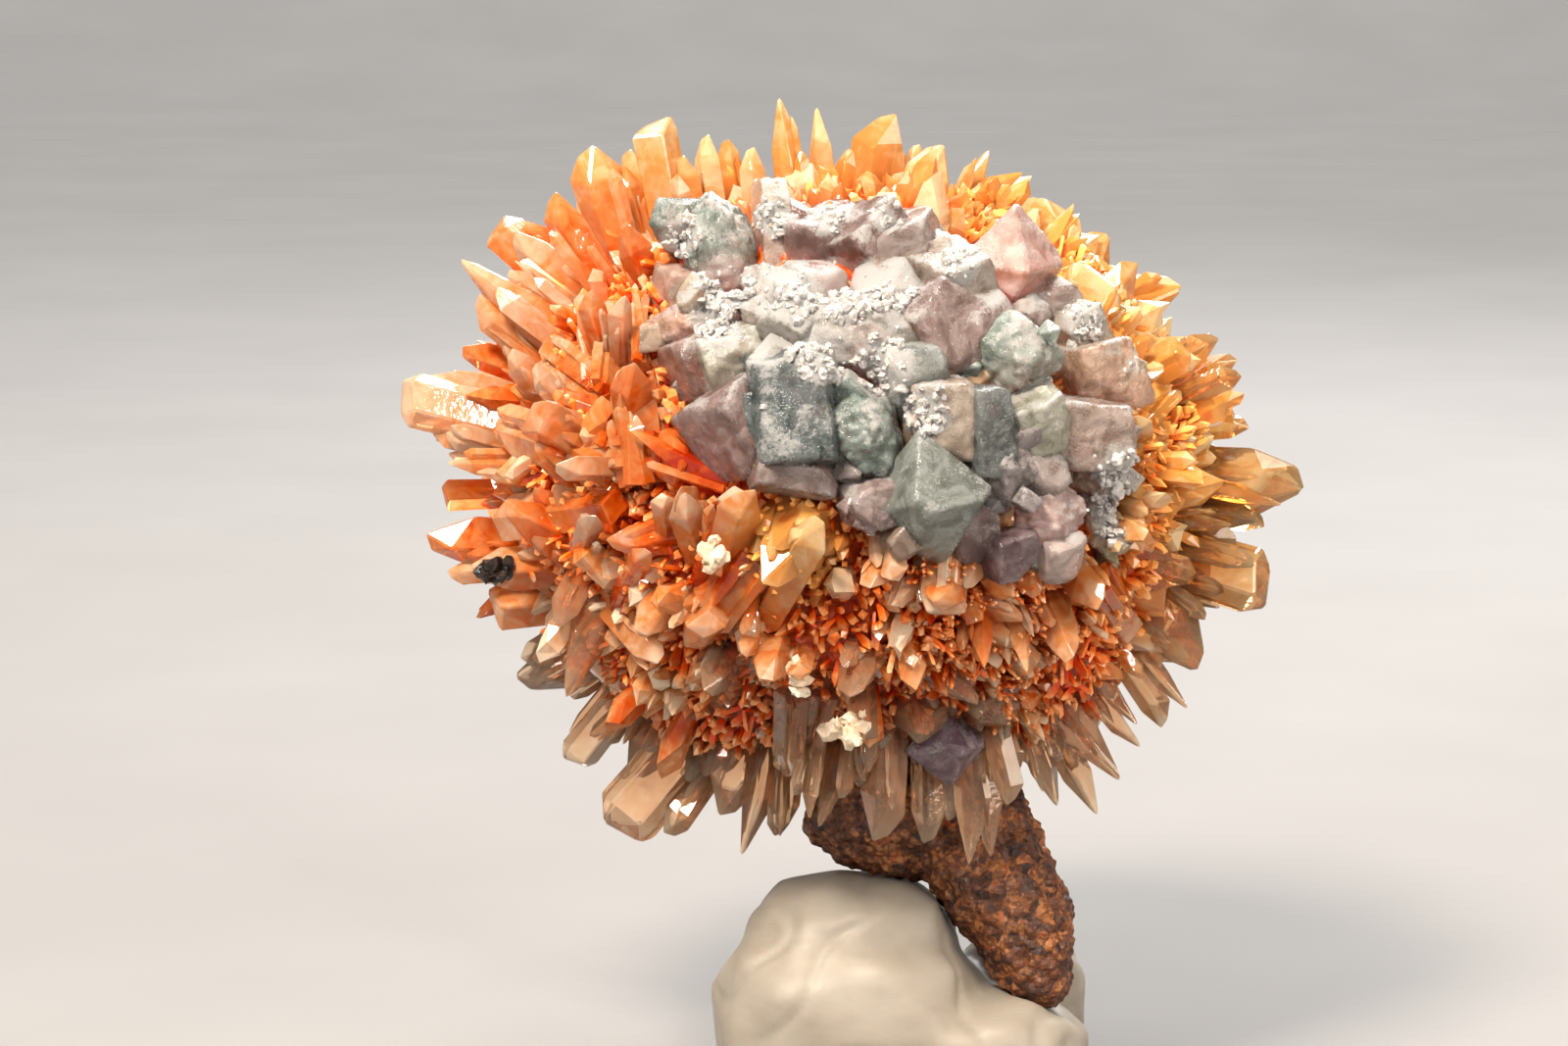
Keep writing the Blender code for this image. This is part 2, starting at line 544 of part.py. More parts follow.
def limb_shell(grow=0.0):
    """The matrix limb: rings round its line, closed at both ends, with an uneven skin."""
    shell = bmesh.new()
    middles = [seen(*place) for place, _ in MATRIX_LIMB]
    rings = []
    for number, (_, radius) in enumerate(MATRIX_LIMB):
        before = middles[max(number - 1, 0)]
        after = middles[min(number + 1, len(middles) - 1)]
        along = (after - before).normalized()
        side = along.cross(TOWARD).normalized()
        front = along.cross(side)
        ring = []
        for step in range(LIMB_SIDES):
            angle = math.tau * step / LIMB_SIDES
            way = side * math.cos(angle) + front * math.sin(angle)
            uneven = MATRIX_ROUGHNESS * noise.noise((middles[number] + way * radius) / 2.5)
            ring.append(shell.verts.new(middles[number] + way * (radius + uneven + grow)))
        rings.append(ring)
    for upper, lower in zip(rings, rings[1:]):
        for step in range(LIMB_SIDES):
            following = (step + 1) % LIMB_SIDES
            shell.faces.new((upper[step], upper[following], lower[following], lower[step]))
    shell.faces.new(rings[0])
    shell.faces.new(rings[-1])
    bmesh.ops.recalc_face_normals(shell, faces=shell.faces)
    bmesh.ops.triangulate(shell, faces=shell.faces)
    return shell


def matrix_shells(grow=0.0):
    return [lump_shell(MATRIX_BOSS, 2, MATRIX_ROUGHNESS, 2.5, grow), limb_shell(grow)]


def crystal_shells(grow=0.0):
    points = list(listed_crystals(grow)) + list(spread_crystals(grow))
    return [convex_shell(corners) for corners in points]


def creedite_cluster():
    """The ball of creedite, with room cut for the fluorite and the matrix."""
    ball = piece_from("creedite_cluster", core_shell())
    combine(ball, helpers_from("creedite_crystals", crystal_shells()), "UNION")
    rooms = fluorite_shells(GAP) + [purple_shell(GAP)] + matrix_shells(GAP)
    combine(ball, helpers_from("room_for_neighbours", rooms), "DIFFERENCE")
    settle(ball)
    finish(ball, (0.66, 0.27, 0.08), 0.22, 0.4)


def fluorite_cluster():
    """The teal, grey and lilac fluorite on the upper front."""
    first, *others = fluorite_shells()
    cluster = piece_from("fluorite_cluster", first)
    combine(cluster, helpers_from("fluorite_crystals", others), "UNION")
    settle(cluster)
    finish(cluster, (0.38, 0.42, 0.38), 0.4, 0.2)


def purple_fluorite():
    """The small fluorite crystal at the lower front."""
    piece = piece_from("purple_fluorite", purple_shell())
    finish(piece, (0.33, 0.22, 0.36), 0.3, 0.3)


def matrix_stub():
    """The brown matrix limb under the ball."""
    first, *others = matrix_shells()
    stub = piece_from("matrix_stub", first)
    combine(stub, helpers_from("matrix_limb", others), "UNION")
    settle(stub)
    finish(stub, (0.13, 0.05, 0.02), 0.7)


def putty_shells():
    return [lump_shell(lump, 2, PUTTY_DENTS, 4.0, box=0.8) for lump in PUTTY_LUMPS]


def floor_cutter():
    """A block whose top is the surface that the putty stands on."""
    side = 60.0
    block = bmesh.new()
    bmesh.ops.create_cube(block, size=side)
    bmesh.ops.translate(block, verts=block.verts, vec=(0, 0, -side / 2))
    return block


def mounting_putty():
    """The putty lump, flat underneath, with room for the matrix and for the crystals that press into it."""
    first, *others = putty_shells()
    putty = piece_from("mounting_putty", first)
    combine(putty, helpers_from("putty_lumps", others), "UNION")
    prints = [floor_cutter()] + matrix_shells(GAP) + crystal_shells(GAP)
    combine(putty, helpers_from("surface_and_prints", prints), "DIFFERENCE")
    settle(putty)
    finish(putty, (0.79, 0.68, 0.54), 0.6)


clear_scene()
creedite_cluster()
fluorite_cluster()
purple_fluorite()
matrix_stub()
mounting_putty()
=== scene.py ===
"""The looks of a ball of creedite that carries fluorite, held by its brown matrix in a lump of putty.

The frame is in metres. Shapes here are worked out in millimetres and written to the meshes in metres. The
front of the specimen faces -Y, and the camera stands where the front view is described from.
"""

import math
import random
from collections import namedtuple

import bmesh
import bpy
import numpy as np
from mathutils import Matrix, Vector, noise


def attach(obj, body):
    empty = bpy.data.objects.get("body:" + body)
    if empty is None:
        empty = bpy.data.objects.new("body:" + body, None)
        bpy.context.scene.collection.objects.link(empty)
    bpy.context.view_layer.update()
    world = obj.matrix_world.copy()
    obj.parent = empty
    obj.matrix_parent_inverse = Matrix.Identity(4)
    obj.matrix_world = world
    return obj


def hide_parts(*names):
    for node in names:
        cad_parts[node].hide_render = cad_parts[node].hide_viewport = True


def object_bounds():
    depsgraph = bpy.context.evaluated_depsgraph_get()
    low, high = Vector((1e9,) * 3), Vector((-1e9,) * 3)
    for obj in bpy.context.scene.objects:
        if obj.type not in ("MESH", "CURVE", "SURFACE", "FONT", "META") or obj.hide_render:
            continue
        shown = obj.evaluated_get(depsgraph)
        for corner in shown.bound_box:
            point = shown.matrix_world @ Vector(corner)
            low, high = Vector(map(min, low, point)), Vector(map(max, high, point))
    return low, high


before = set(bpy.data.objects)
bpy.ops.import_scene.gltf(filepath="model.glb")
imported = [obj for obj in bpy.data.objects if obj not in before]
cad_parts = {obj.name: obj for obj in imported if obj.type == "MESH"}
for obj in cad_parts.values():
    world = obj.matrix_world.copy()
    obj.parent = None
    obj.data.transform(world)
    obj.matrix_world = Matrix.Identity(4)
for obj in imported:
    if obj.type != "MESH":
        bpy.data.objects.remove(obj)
cad_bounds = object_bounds()

MM = 0.001
GOLDEN_ANGLE = math.pi * (3 - math.sqrt(5))

# Where the random draws of each kind start. The draws of one crystal start at its number in its list, with
# one of the first five added.
FLUORITE_SEED = 300
BLADE_SEED = 500
TONE_SEED = 700
COMPANION_SEED = 900
SPREAD_TONE_SEED = 1700
BUNCH_WAYS_SEED = 3
BUNCH_SEED = 19
FINE_WAYS_SEED = 5
FINE_SEED = 7
SMOKE_SEED = 3
CREAM_SEED = 4
SATELLITE_SEED = 5
CRUST_SEED = 11

# The ball: its middle above the surface, the half sizes across, up and toward the front of the lumpy middle
# that the crystals stand on, and the height and span of the lumps.
BALL_HEIGHT = 46.5
CORE_ACROSS = 25.0
CORE_UP = 21.0
CORE_TOWARD = 22.0
CORE_LUMPS = 2.2
LUMP_SPAN = 6.0

# The front view: how far it looks down on the ball, how far off the eye is, and where its axis passes the
# ball's centre.
VIEW_TILT = math.radians(10)
VIEW_DISTANCE = 333.0
EYE_ACROSS = -5.4
EYE_UP = -3.3
LENS = 100.0
SENSOR_WIDTH = 36.0

CENTRE = Vector((0, 0, BALL_HEIGHT))
RIGHT = Vector((1, 0, 0))
UP = Vector((0, math.sin(VIEW_TILT), math.cos(VIEW_TILT)))
TOWARD = Vector((0, -math.cos(VIEW_TILT), math.sin(VIEW_TILT)))
VIEW_AXES = np.array([RIGHT, UP, TOWARD])
CORE_HALF = np.array([CORE_ACROSS, CORE_UP, CORE_TOWARD])

# How far a creedite crystal goes into what it grows on.
EMBED = 3.5

# The crystals of the sides, the back and the underside, which no list names.
SPREAD_SEED = 41
SPREAD_COUNT = 150
SPREAD_REACH = (2.5, 8.0)
SPREAD_WIDTH = (3.2, 6.0)
SPREAD_STRAY = 0.07
SPREAD_LEAN = 0.25
SPREAD_SUNK = 0.5

# On the front the spread crystals are short, and keep this far from the roots of the listed ones.
FRONT_REACH = (1.6, 3.6)
FRONT_CLEAR = 3.4

# Nothing is spread where the ball sits on its matrix: large crystals end at this share of the way down, and
# small ones at the next.
UNDERSIDE = -0.88
SMALL_UNDERSIDE = -0.93

# A listed crystal this wide has a smaller one grown against its side: in shares of the large one, how wide
# it is, how far to the side, how long and how pale.
TWIN_FROM = 4.0
TWIN_WIDTH = 0.6
TWIN_ASIDE = 0.42
TWIN_LENGTH = (0.55, 0.8)
TWIN_TONE = 0.8

# The thinner crystals grown along each large one: how far across and in front of its middle they stand and
# how wide they are, in its widths, how long they are, in its lengths, and how far they lean and differ in
# tone.
COMPANION_ACROSS = 0.44
COMPANION_FRONT = 0.32
COMPANION_WIDTH = (0.25, 0.55)
COMPANION_LENGTH = (0.25, 0.85)
COMPANION_LEAN = 0.16
COMPANION_TONE = 0.25

SPIKE = "spike"
WEDGE = "wedge"
BLUNT = "blunt"

# For each form, in widths: how far the tip's facets run down the crystal, how wide it is where they start,
# and half the length of the ridge that they meet in.
FACET_DROP = {SPIKE: 1.5, WEDGE: 0.8, BLUNT: 0.3}
SHOULDER = {SPIKE: 0.78, WEDGE: 0.94, BLUNT: 1.0}
RIDGE = {SPIKE: 0.06, WEDGE: 0.16, BLUNT: 0.3}

# Also in widths: a crystal's thickness, its width at the foot, how far its tip leans, how much lower the far
# end of its ridge is, and on a blunt one the third corner of the tip, and its bevel. It may be twisted this
# far, in radians. Its facets run down this share of FACET_DROP, and its sides are at least this share of its
# length.
THICKNESS = 0.72
FOOT = 0.86
TIP_LEAN = 0.12
RIDGE_DROP = 0.12
BLUNT_DROP = 0.1
BEVEL = 0.03
TWIST = 0.6
DROP_VARIES = (0.55, 1.15)
SHORTEST_SIDE = 0.35

# A crystal this wide has six sides, and a smaller one has four. Its section's corners, in shares of its
# width and its thickness.
SIX_SIDED_FROM = 4.4
SIX_RING = [(0.5, 0.0), (0.24, 0.5), (-0.26, 0.48), (-0.5, 0.0), (-0.22, -0.5), (0.28, -0.46)]
DIAMOND_RING = [(0.5, 0.0), (0.06, 0.5), (-0.5, 0.0), (-0.06, -0.5)]

# Where the creedite is golden and where it is dark in the front view, each as where that starts and where it
# is full: to the right and on top, where the golden tint is painted glow of light passing through the rim
# crystals, around one golden crystal of the front (at across, up), and dark below, which is partly the
# crystals' own browner and paler tints and partly painted shade of the underside.
GOLDEN_GLOW_RIGHT = (6, 27)
GOLDEN_GLOW_TOP = (19, 27)
GOLDEN_SPOT = (-5.0, -5.2)
GOLDEN_NEAR = (5.5, 2.5)
DARK_AND_SHADED_BELOW = (-2, -24)

# Crystals whose tips are below this height above the ball's middle, or this far to its right, are the
# clearest, and at least this pale.
CLEAR_BELOW = -15.5
CLEAR_BEYOND = 25.5
CLEAR_TONE = 0.75

# A crystal of the front view. tip and root are (across, up) from the ball's centre, depth is how far toward
# the viewer its root is (on the core's skin where it is None), and lift is how much nearer the tip is.
Crystal = namedtuple("Crystal", "tip root width depth lift form")

LEFT_RIM = [Crystal(*row) for row in [
    ((-27.5, 19.6), (-22.0, 14.5), 4.0, -8.0, -1.0, BLUNT),
    ((-26.2, 18.8), (-20.5, 14.0), 3.0, -2.0, 0.0, WEDGE),
    ((-30.3, 17.2), (-22.5, 10.8), 4.9, 3.0, 1.0, SPIKE),
    ((-30.1, 10.1), (-24.5, 8.0), 2.6, 1.0, 1.0, WEDGE),
    ((-32.9, 7.9), (-24.5, 6.2), 2.8, -4.0, 0.0, SPIKE),
    ((-34.9, 6.4), (-25.0, 3.8), 4.4, 2.0, 1.0, BLUNT),
    ((-31.3, 1.2), (-25.0, 1.0), 2.2, 5.0, 1.0, SPIKE),
    ((-31.6, -1.2), (-25.0, -1.0), 2.6, -3.0, 0.0, BLUNT),
    ((-32.9, -4.5), (-24.5, -4.8), 4.3, 1.0, 1.0, WEDGE),
    ((-29.4, -7.1), (-21.5, -6.4), 3.8, 5.0, 1.0, WEDGE),
    ((-28.0, -9.8), (-21.0, -9.2), 3.8, 0.0, 0.0, BLUNT),
    ((-24.6, -14.0), (-20.0, -11.5), 2.4, -3.0, 0.0, WEDGE),
    ((-25.3, -15.8), (-20.0, -13.0), 1.8, -6.0, 0.0, SPIKE),
    ((-22.4, -16.9), (-18.6, -6.2), 5.0, 9.0, 1.5, SPIKE),
    ((-21.7, -21.7), (-16.0, -14.5), 3.6, -4.0, -1.0, BLUNT),
    ((-18.2, -19.0), (-15.5, -13.5), 3.2, 3.0, 0.0, WEDGE),
    ((-16.8, -23.3), (-13.5, -16.5), 4.3, 0.0, 0.0, WEDGE),
    ((-18.4, -26.9), (-10.5, -17.5), 5.4, 2.0, 2.0, BLUNT),
]]

BOTTOM_RIM = [Crystal(*row) for row in [
    ((-9.8, -25.9), (-8.6, -18.5), 4.2, 5.0, 1.0, WEDGE),
    ((-8.2, -29.0), (-6.4, -18.5), 3.6, 0.0, 1.0, SPIKE),
    ((-5.4, -26.8), (-4.4, -19.0), 2.4, -4.0, 0.0, WEDGE),
    ((-2.5, -26.9), (-0.6, -18.5), 3.7, 8.0, 2.0, SPIKE),
    ((-3.6, -26.0), (-2.6, -18.5), 2.0, 10.0, 1.0, SPIKE),
    ((1.9, -27.8), (2.6, -18.0), 4.3, 9.0, 1.0, WEDGE),
    ((5.8, -27.9), (5.6, -18.5), 3.2, 7.0, 1.0, WEDGE),
    ((8.9, -29.6), (8.4, -18.0), 2.9, 8.0, 1.0, SPIKE),
    ((10.7, -29.0), (9.4, -17.5), 3.1, 6.0, 1.0, SPIKE),
    ((12.2, -24.8), (10.4, -17.5), 2.4, 9.0, 2.0, WEDGE),
    ((15.6, -25.1), (12.6, -17.0), 3.2, 4.0, 1.0, SPIKE),
    ((18.6, -25.8), (13.8, -16.0), 3.2, -2.0, 0.0, SPIKE),
]]

RIGHT_RIM = [Crystal(*row) for row in [
    ((20.3, -23.2), (14.6, -15.5), 3.8, 6.0, 1.0, SPIKE),
    ((21.8, -20.6), (16.6, -14.5), 2.6, 1.0, 0.0, SPIKE),
    ((21.8, -18.7), (17.2, -13.5), 2.2, 5.0, 1.0, SPIKE),
    ((24.0, -18.7), (19.4, -12.0), 2.6, -3.0, 0.0, WEDGE),
    ((25.5, -17.6), (20.4, -11.5), 2.0, 2.0, 0.0, SPIKE),
    ((27.0, -14.0), (20.8, -8.6), 5.2, 3.0, 1.0, WEDGE),
    ((32.0, -8.2), (23.6, -5.6), 5.4, 2.0, 2.0, BLUNT),
    ((29.0, -3.4), (24.0, -3.0), 1.9, 5.0, 0.0, SPIKE),
    ((34.6, -0.4), (24.6, 0.2), 5.7, 1.0, 1.0, WEDGE),
    ((30.2, 4.4), (24.2, 3.8), 2.6, -4.0, 0.0, WEDGE),
    ((27.6, 11.2), (22.4, 6.8), 2.6, 3.0, 1.0, WEDGE),
    ((29.1, 9.6), (23.2, 6.2), 2.5, 1.0, 0.0, WEDGE),
    ((29.5, 8.3), (23.2, 5.6), 2.2, 5.0, 1.0, WEDGE),
    ((29.3, 6.6), (23.6, 4.8), 2.2, 0.0, 0.0, BLUNT),
    ((25.5, 10.0), (20.4, 7.0), 3.2, 6.0, 2.0, BLUNT),
    ((22.6, 10.9), (19.6, 8.4), 1.9, 8.0, 1.0, WEDGE),
    ((21.2, 17.0), (17.4, 10.4), 4.3, 2.0, 1.0, WEDGE),
    ((19.0, 19.2), (15.2, 12.0), 4.6, -2.0, 0.0, WEDGE),
]]

TOP_RIM = [Crystal(*row) for row in [
    ((13.0, 23.4), (6.4, 20.6), 2.3, -3.0, 0.0, SPIKE),
    ((6.0, 25.9), (4.2, 18.0), 4.6, 2.0, 0.0, WEDGE),
    ((2.1, 28.3), (0.6, 18.5), 4.3, -1.0, 1.0, WEDGE),
    ((-3.0, 28.6), (-2.0, 19.0), 2.6, -4.0, 0.0, SPIKE),
    ((-5.8, 29.4), (-4.6, 19.0), 3.3, 0.0, 1.0, SPIKE),
    ((-8.0, 25.5), (-7.4, 18.5), 2.2, 3.0, 0.0, WEDGE),
    ((-9.9, 26.1), (-8.6, 18.5), 2.2, -3.0, 0.0, WEDGE),
    ((-11.6, 26.4), (-10.2, 17.5), 2.4, 1.0, 0.0, WEDGE),
    ((-15.5, 27.6), (-13.4, 16.5), 4.2, 1.0, 1.0, BLUNT),
    ((-17.4, 25.3), (-15.0, 15.5), 2.8, -4.0, 0.0, WEDGE),
    ((-20.5, 25.6), (-17.0, 15.0), 4.6, 0.0, 1.0, WEDGE),
    ((-23.4, 21.8), (-18.6, 14.0), 3.2, 4.0, 0.0, WEDGE),
]]

FACE = [Crystal(*row) for row in [
    ((-17.6, 19.5), (-15.4, 14.2), 3.0, None, 3.0, WEDGE),
    ((-20.5, 14.5), (-18.8, 9.0), 2.3, None, 3.5, WEDGE),
    ((-18.0, 14.0), (-17.8, 9.0), 2.2, None, 4.0, WEDGE),
    ((-26.6, 9.8), (-22.8, 5.5), 2.4, None, 3.0, WEDGE),
    ((-24.8, 8.6), (-21.4, 4.8), 2.0, None, 3.0, WEDGE),
    ((-17.4, 9.0), (-16.6, 3.4), 3.4, None, 4.5, WEDGE),
    ((-24.8, 5.2), (-20.0, 2.0), 4.0, None, 4.0, BLUNT),
    ((-23.0, 0.9), (-17.6, 0.8), 2.3, None, 4.5, WEDGE),
    ((-27.0, -2.0), (-21.5, -4.8), 3.6, None, 3.5, WEDGE),
    ((-14.4, -2.0), (-13.8, -4.2), 1.8, None, 4.5, WEDGE),
    ((-13.4, -0.6), (-11.8, -3.6), 2.8, None, 4.5, WEDGE),
    ((-9.4, -0.9), (-8.8, -4.2), 2.4, None, 4.0, BLUNT),
    ((-11.0, -6.6), (-10.2, -5.2), 2.4, None, 4.5, BLUNT),
    ((-6.6, -8.4), (-4.2, -3.0), 4.3, None, 3.6, WEDGE),
    ((-11.6, -11.4), (-10.4, -9.2), 3.2, None, 4.5, BLUNT),
    ((-16.4, -12.0), (-13.6, -8.4), 3.4, None, 4.0, WEDGE),
    ((-7.0, -15.4), (-6.0, -12.0), 3.6, None, 5.0, WEDGE),
    ((-4.3, -14.9), (-3.6, -12.6), 1.8, None, 6.0, BLUNT),
    ((0.1, -16.6), (0.2, -12.8), 3.2, None, 5.0, WEDGE),
    ((0.6, -19.6), (0.6, -15.6), 2.6, None, 5.0, BLUNT),
    ((7.0, -9.6), (6.8, -6.2), 3.2, None, 4.0, BLUNT),
    ((9.8, -14.4), (9.6, -9.2), 2.2, None, 4.0, SPIKE),
    ((13.4, -14.8), (12.0, -9.4), 2.2, None, 4.0, SPIKE),
    ((16.6, -13.9), (14.6, -9.0), 2.6, None, 4.0, WEDGE),
    ((18.8, -9.8), (16.2, -6.4), 3.0, None, 4.0, WEDGE),
    ((22.4, -4.4), (19.2, -2.8), 2.8, None, 4.5, WEDGE),
    ((22.6, 4.6), (20.2, 3.0), 2.8, None, 3.5, WEDGE),
    ((-11.4, -16.4), (-9.4, -12.8), 3.0, None, 4.5, WEDGE),
]]

# A blade that lies among the small crystals of the front: tip and root as above, its width, how pale it is,
# and its form.
Blade = namedtuple("Blade", "tip root width tone form")

FRONT_BLADES = [Blade(*row) for row in [
    ((-20.6, 14.5), (-19.6, 9.6), 2.4, 0.95, WEDGE),
    ((-18.4, 14.0), (-18.8, 9.3), 3.0, 1, WEDGE),
    ((-24.7, 8.5), (-20.4, 6.6), 3.6, 0.8, WEDGE),
    ((-17.3, 9.0), (-16.5, 3.3), 4.1, 0.72, WEDGE),
    ((-27.5, 4.3), (-20.6, 1.9), 4.2, 0.75, WEDGE),
    ((-23.0, 0.6), (-17.4, 1.9), 2.8, 0.78, WEDGE),
    ((-27.1, -3.0), (-20.4, -2.2), 3.9, 0.62, BLUNT),
    ((-13.3, -1.0), (-12.2, -4.3), 3.1, 0.8, WEDGE),
    ((-14.7, -1.3), (-14.3, -4.2), 1.9, 0.6, BLUNT),
    ((-8.2, -0.6), (-9.6, -5.4), 3.8, 0.5, WEDGE),
    ((-19.9, -2.7), (-20.8, -5.5), 2.4, 0.82, WEDGE),
    ((-12.8, -13.0), (-9.4, -8.7), 4.2, 0.42, WEDGE),
    ((-4.8, -22.6), (-3.8, -17.7), 4.1, 0.4, WEDGE),
    ((-2.5, -2.9), (-5.5, -8.2), 3.6, 0.8, WEDGE),
    ((-14.7, -13.9), (-17.2, -11.2), 2.8, 0.85, WEDGE),
    ((6.6, -10.5), (7.1, -6.0), 3.9, 0.85, BLUNT),
    ((12.7, -12.5), (9.4, -11.3), 2.4, 0.7, WEDGE),
    ((13.0, -10.6), (9.6, -9.5), 2.0, 0.62, WEDGE),
    ((17.6, -14.8), (15.4, -12.7), 2.8, 0.92, WEDGE),
    ((15.7, -12.4), (16.9, -11.2), 1.5, 1, BLUNT),
    ((21.0, -12.2), (18.6, -9.0), 3.9, 0.6, WEDGE),
    ((9.7, -16.8), (6.9, -14.9), 2.2, 0.75, WEDGE),
    ((11.3, -14.3), (9.7, -12.3), 1.9, 0.88, WEDGE),
    ((10.9, -15.9), (9.8, -14.0), 1.6, 0.8, WEDGE),
    ((15.8, -20.8), (16.3, -16.8), 2.4, 1, SPIKE),
    ((-17.4, 3.8), (-12.9, 1.5), 2.8, 0.3, SPIKE),
    ((-23.8, 10.9), (-20.4, 8.2), 3.1, 0.6, WEDGE),
    ((-16.6, 15.0), (-16.3, 11.2), 1.9, 0.85, SPIKE),
    ((24.6, 4.5), (22.0, 2.6), 2.8, 0.7, WEDGE),
    ((24.3, 7.1), (21.6, 5.2), 2.8, 0.55, WEDGE),
    ((23.1, -5.2), (20.1, -4.1), 3.1, 0.6, WEDGE),
    ((26.1, -7.5), (22.0, -6.4), 3.4, 0.7, WEDGE),
    ((-18.9, -5.2), (-14.4, -4.1), 2.8, 0.35, WEDGE),
    ((-10.3, -19.1), (-9.5, -15.0), 3.1, 0.5, WEDGE),
    ((2.5, -27.0), (2.1, -22.5), 3.8, 0.55, WEDGE),
    ((-12.9, -23.2), (-10.3, -19.1), 3.8, 0.7, WEDGE),
    ((0.6, -8.2), (2.5, -6.4), 2.4, 0.7, WEDGE),
    ((3.2, -7.5), (2.5, -4.9), 2.2, 0.75, BLUNT),
    ((18.6, -7.5), (16.7, -6.4), 2.0, 0.5, SPIKE),
    ((-15.9, -5.2), (-17.4, -8.2), 2.2, 0.3, WEDGE),
    ((-2.4, -20.2), (-2.5, -16.9), 2.4, 0.45, SPIKE),
    ((14.1, -9.0), (12.6, -6.4), 2.8, 0.4, WEDGE),
]]

# How far above the core's skin a blade's root and its tip stand, and how far to each side of its middle
# nothing small may hide it, in its widths.
BLADE_ROOT = 1.4
BLADE_TIP = 4.8
BLADE_CLEAR = 0.35

CUBE = "cube"
CUT_CUBE = "cut cube"
OCTAHEDRON = "octahedron"
LUMP = "lump"

# A cut cube keeps this share of its half sides where every other corner is cut off.
CORNER_KEPT = 0.4

# For each form: how many random cuts break its regular shape, how strongly it is knobbed and how deep it is
# etched.
CUTS = {CUBE: 11, CUT_CUBE: 11, LUMP: 11, OCTAHEDRON: 4}
KNOBS = {CUBE: 0.4, CUT_CUBE: 0.4, LUMP: 0.9, OCTAHEDRON: 0.2}
ETCHED = {CUBE: 0.75, CUT_CUBE: 0.75, LUMP: 0.75, OCTAHEDRON: 0.4}

# The cuts are made at this share of the crystal's reach.
CUT_AT = (0.72, 0.94)

# The edges of a fluorite are rounded the less, the larger this is.
FLUORITE_EDGE = 56
PURPLE_EDGE = 40

# The small crystals against each large one: how many, their sizes in shares of the large one's, how far
# from its middle they stand in shares of its size, and what share of them are cut cubes and not octahedrons.
SATELLITES = 3
SATELLITE_SIZE = (0.26, 0.5)
SATELLITE_AWAY = (0.38, 0.52)
SATELLITE_CUBES = 0.6

# A fluorite crystal of the front view: where its middle is seen, its size across, up and in depth, how far
# its middle stands out from the core's skin, its shape, how far it is turned about each view axis in
# degrees, its tint as it looks on a screen, and how much white dust lies on it.
Fluorite = namedtuple("Fluorite", "at size proud form turn tint dust")

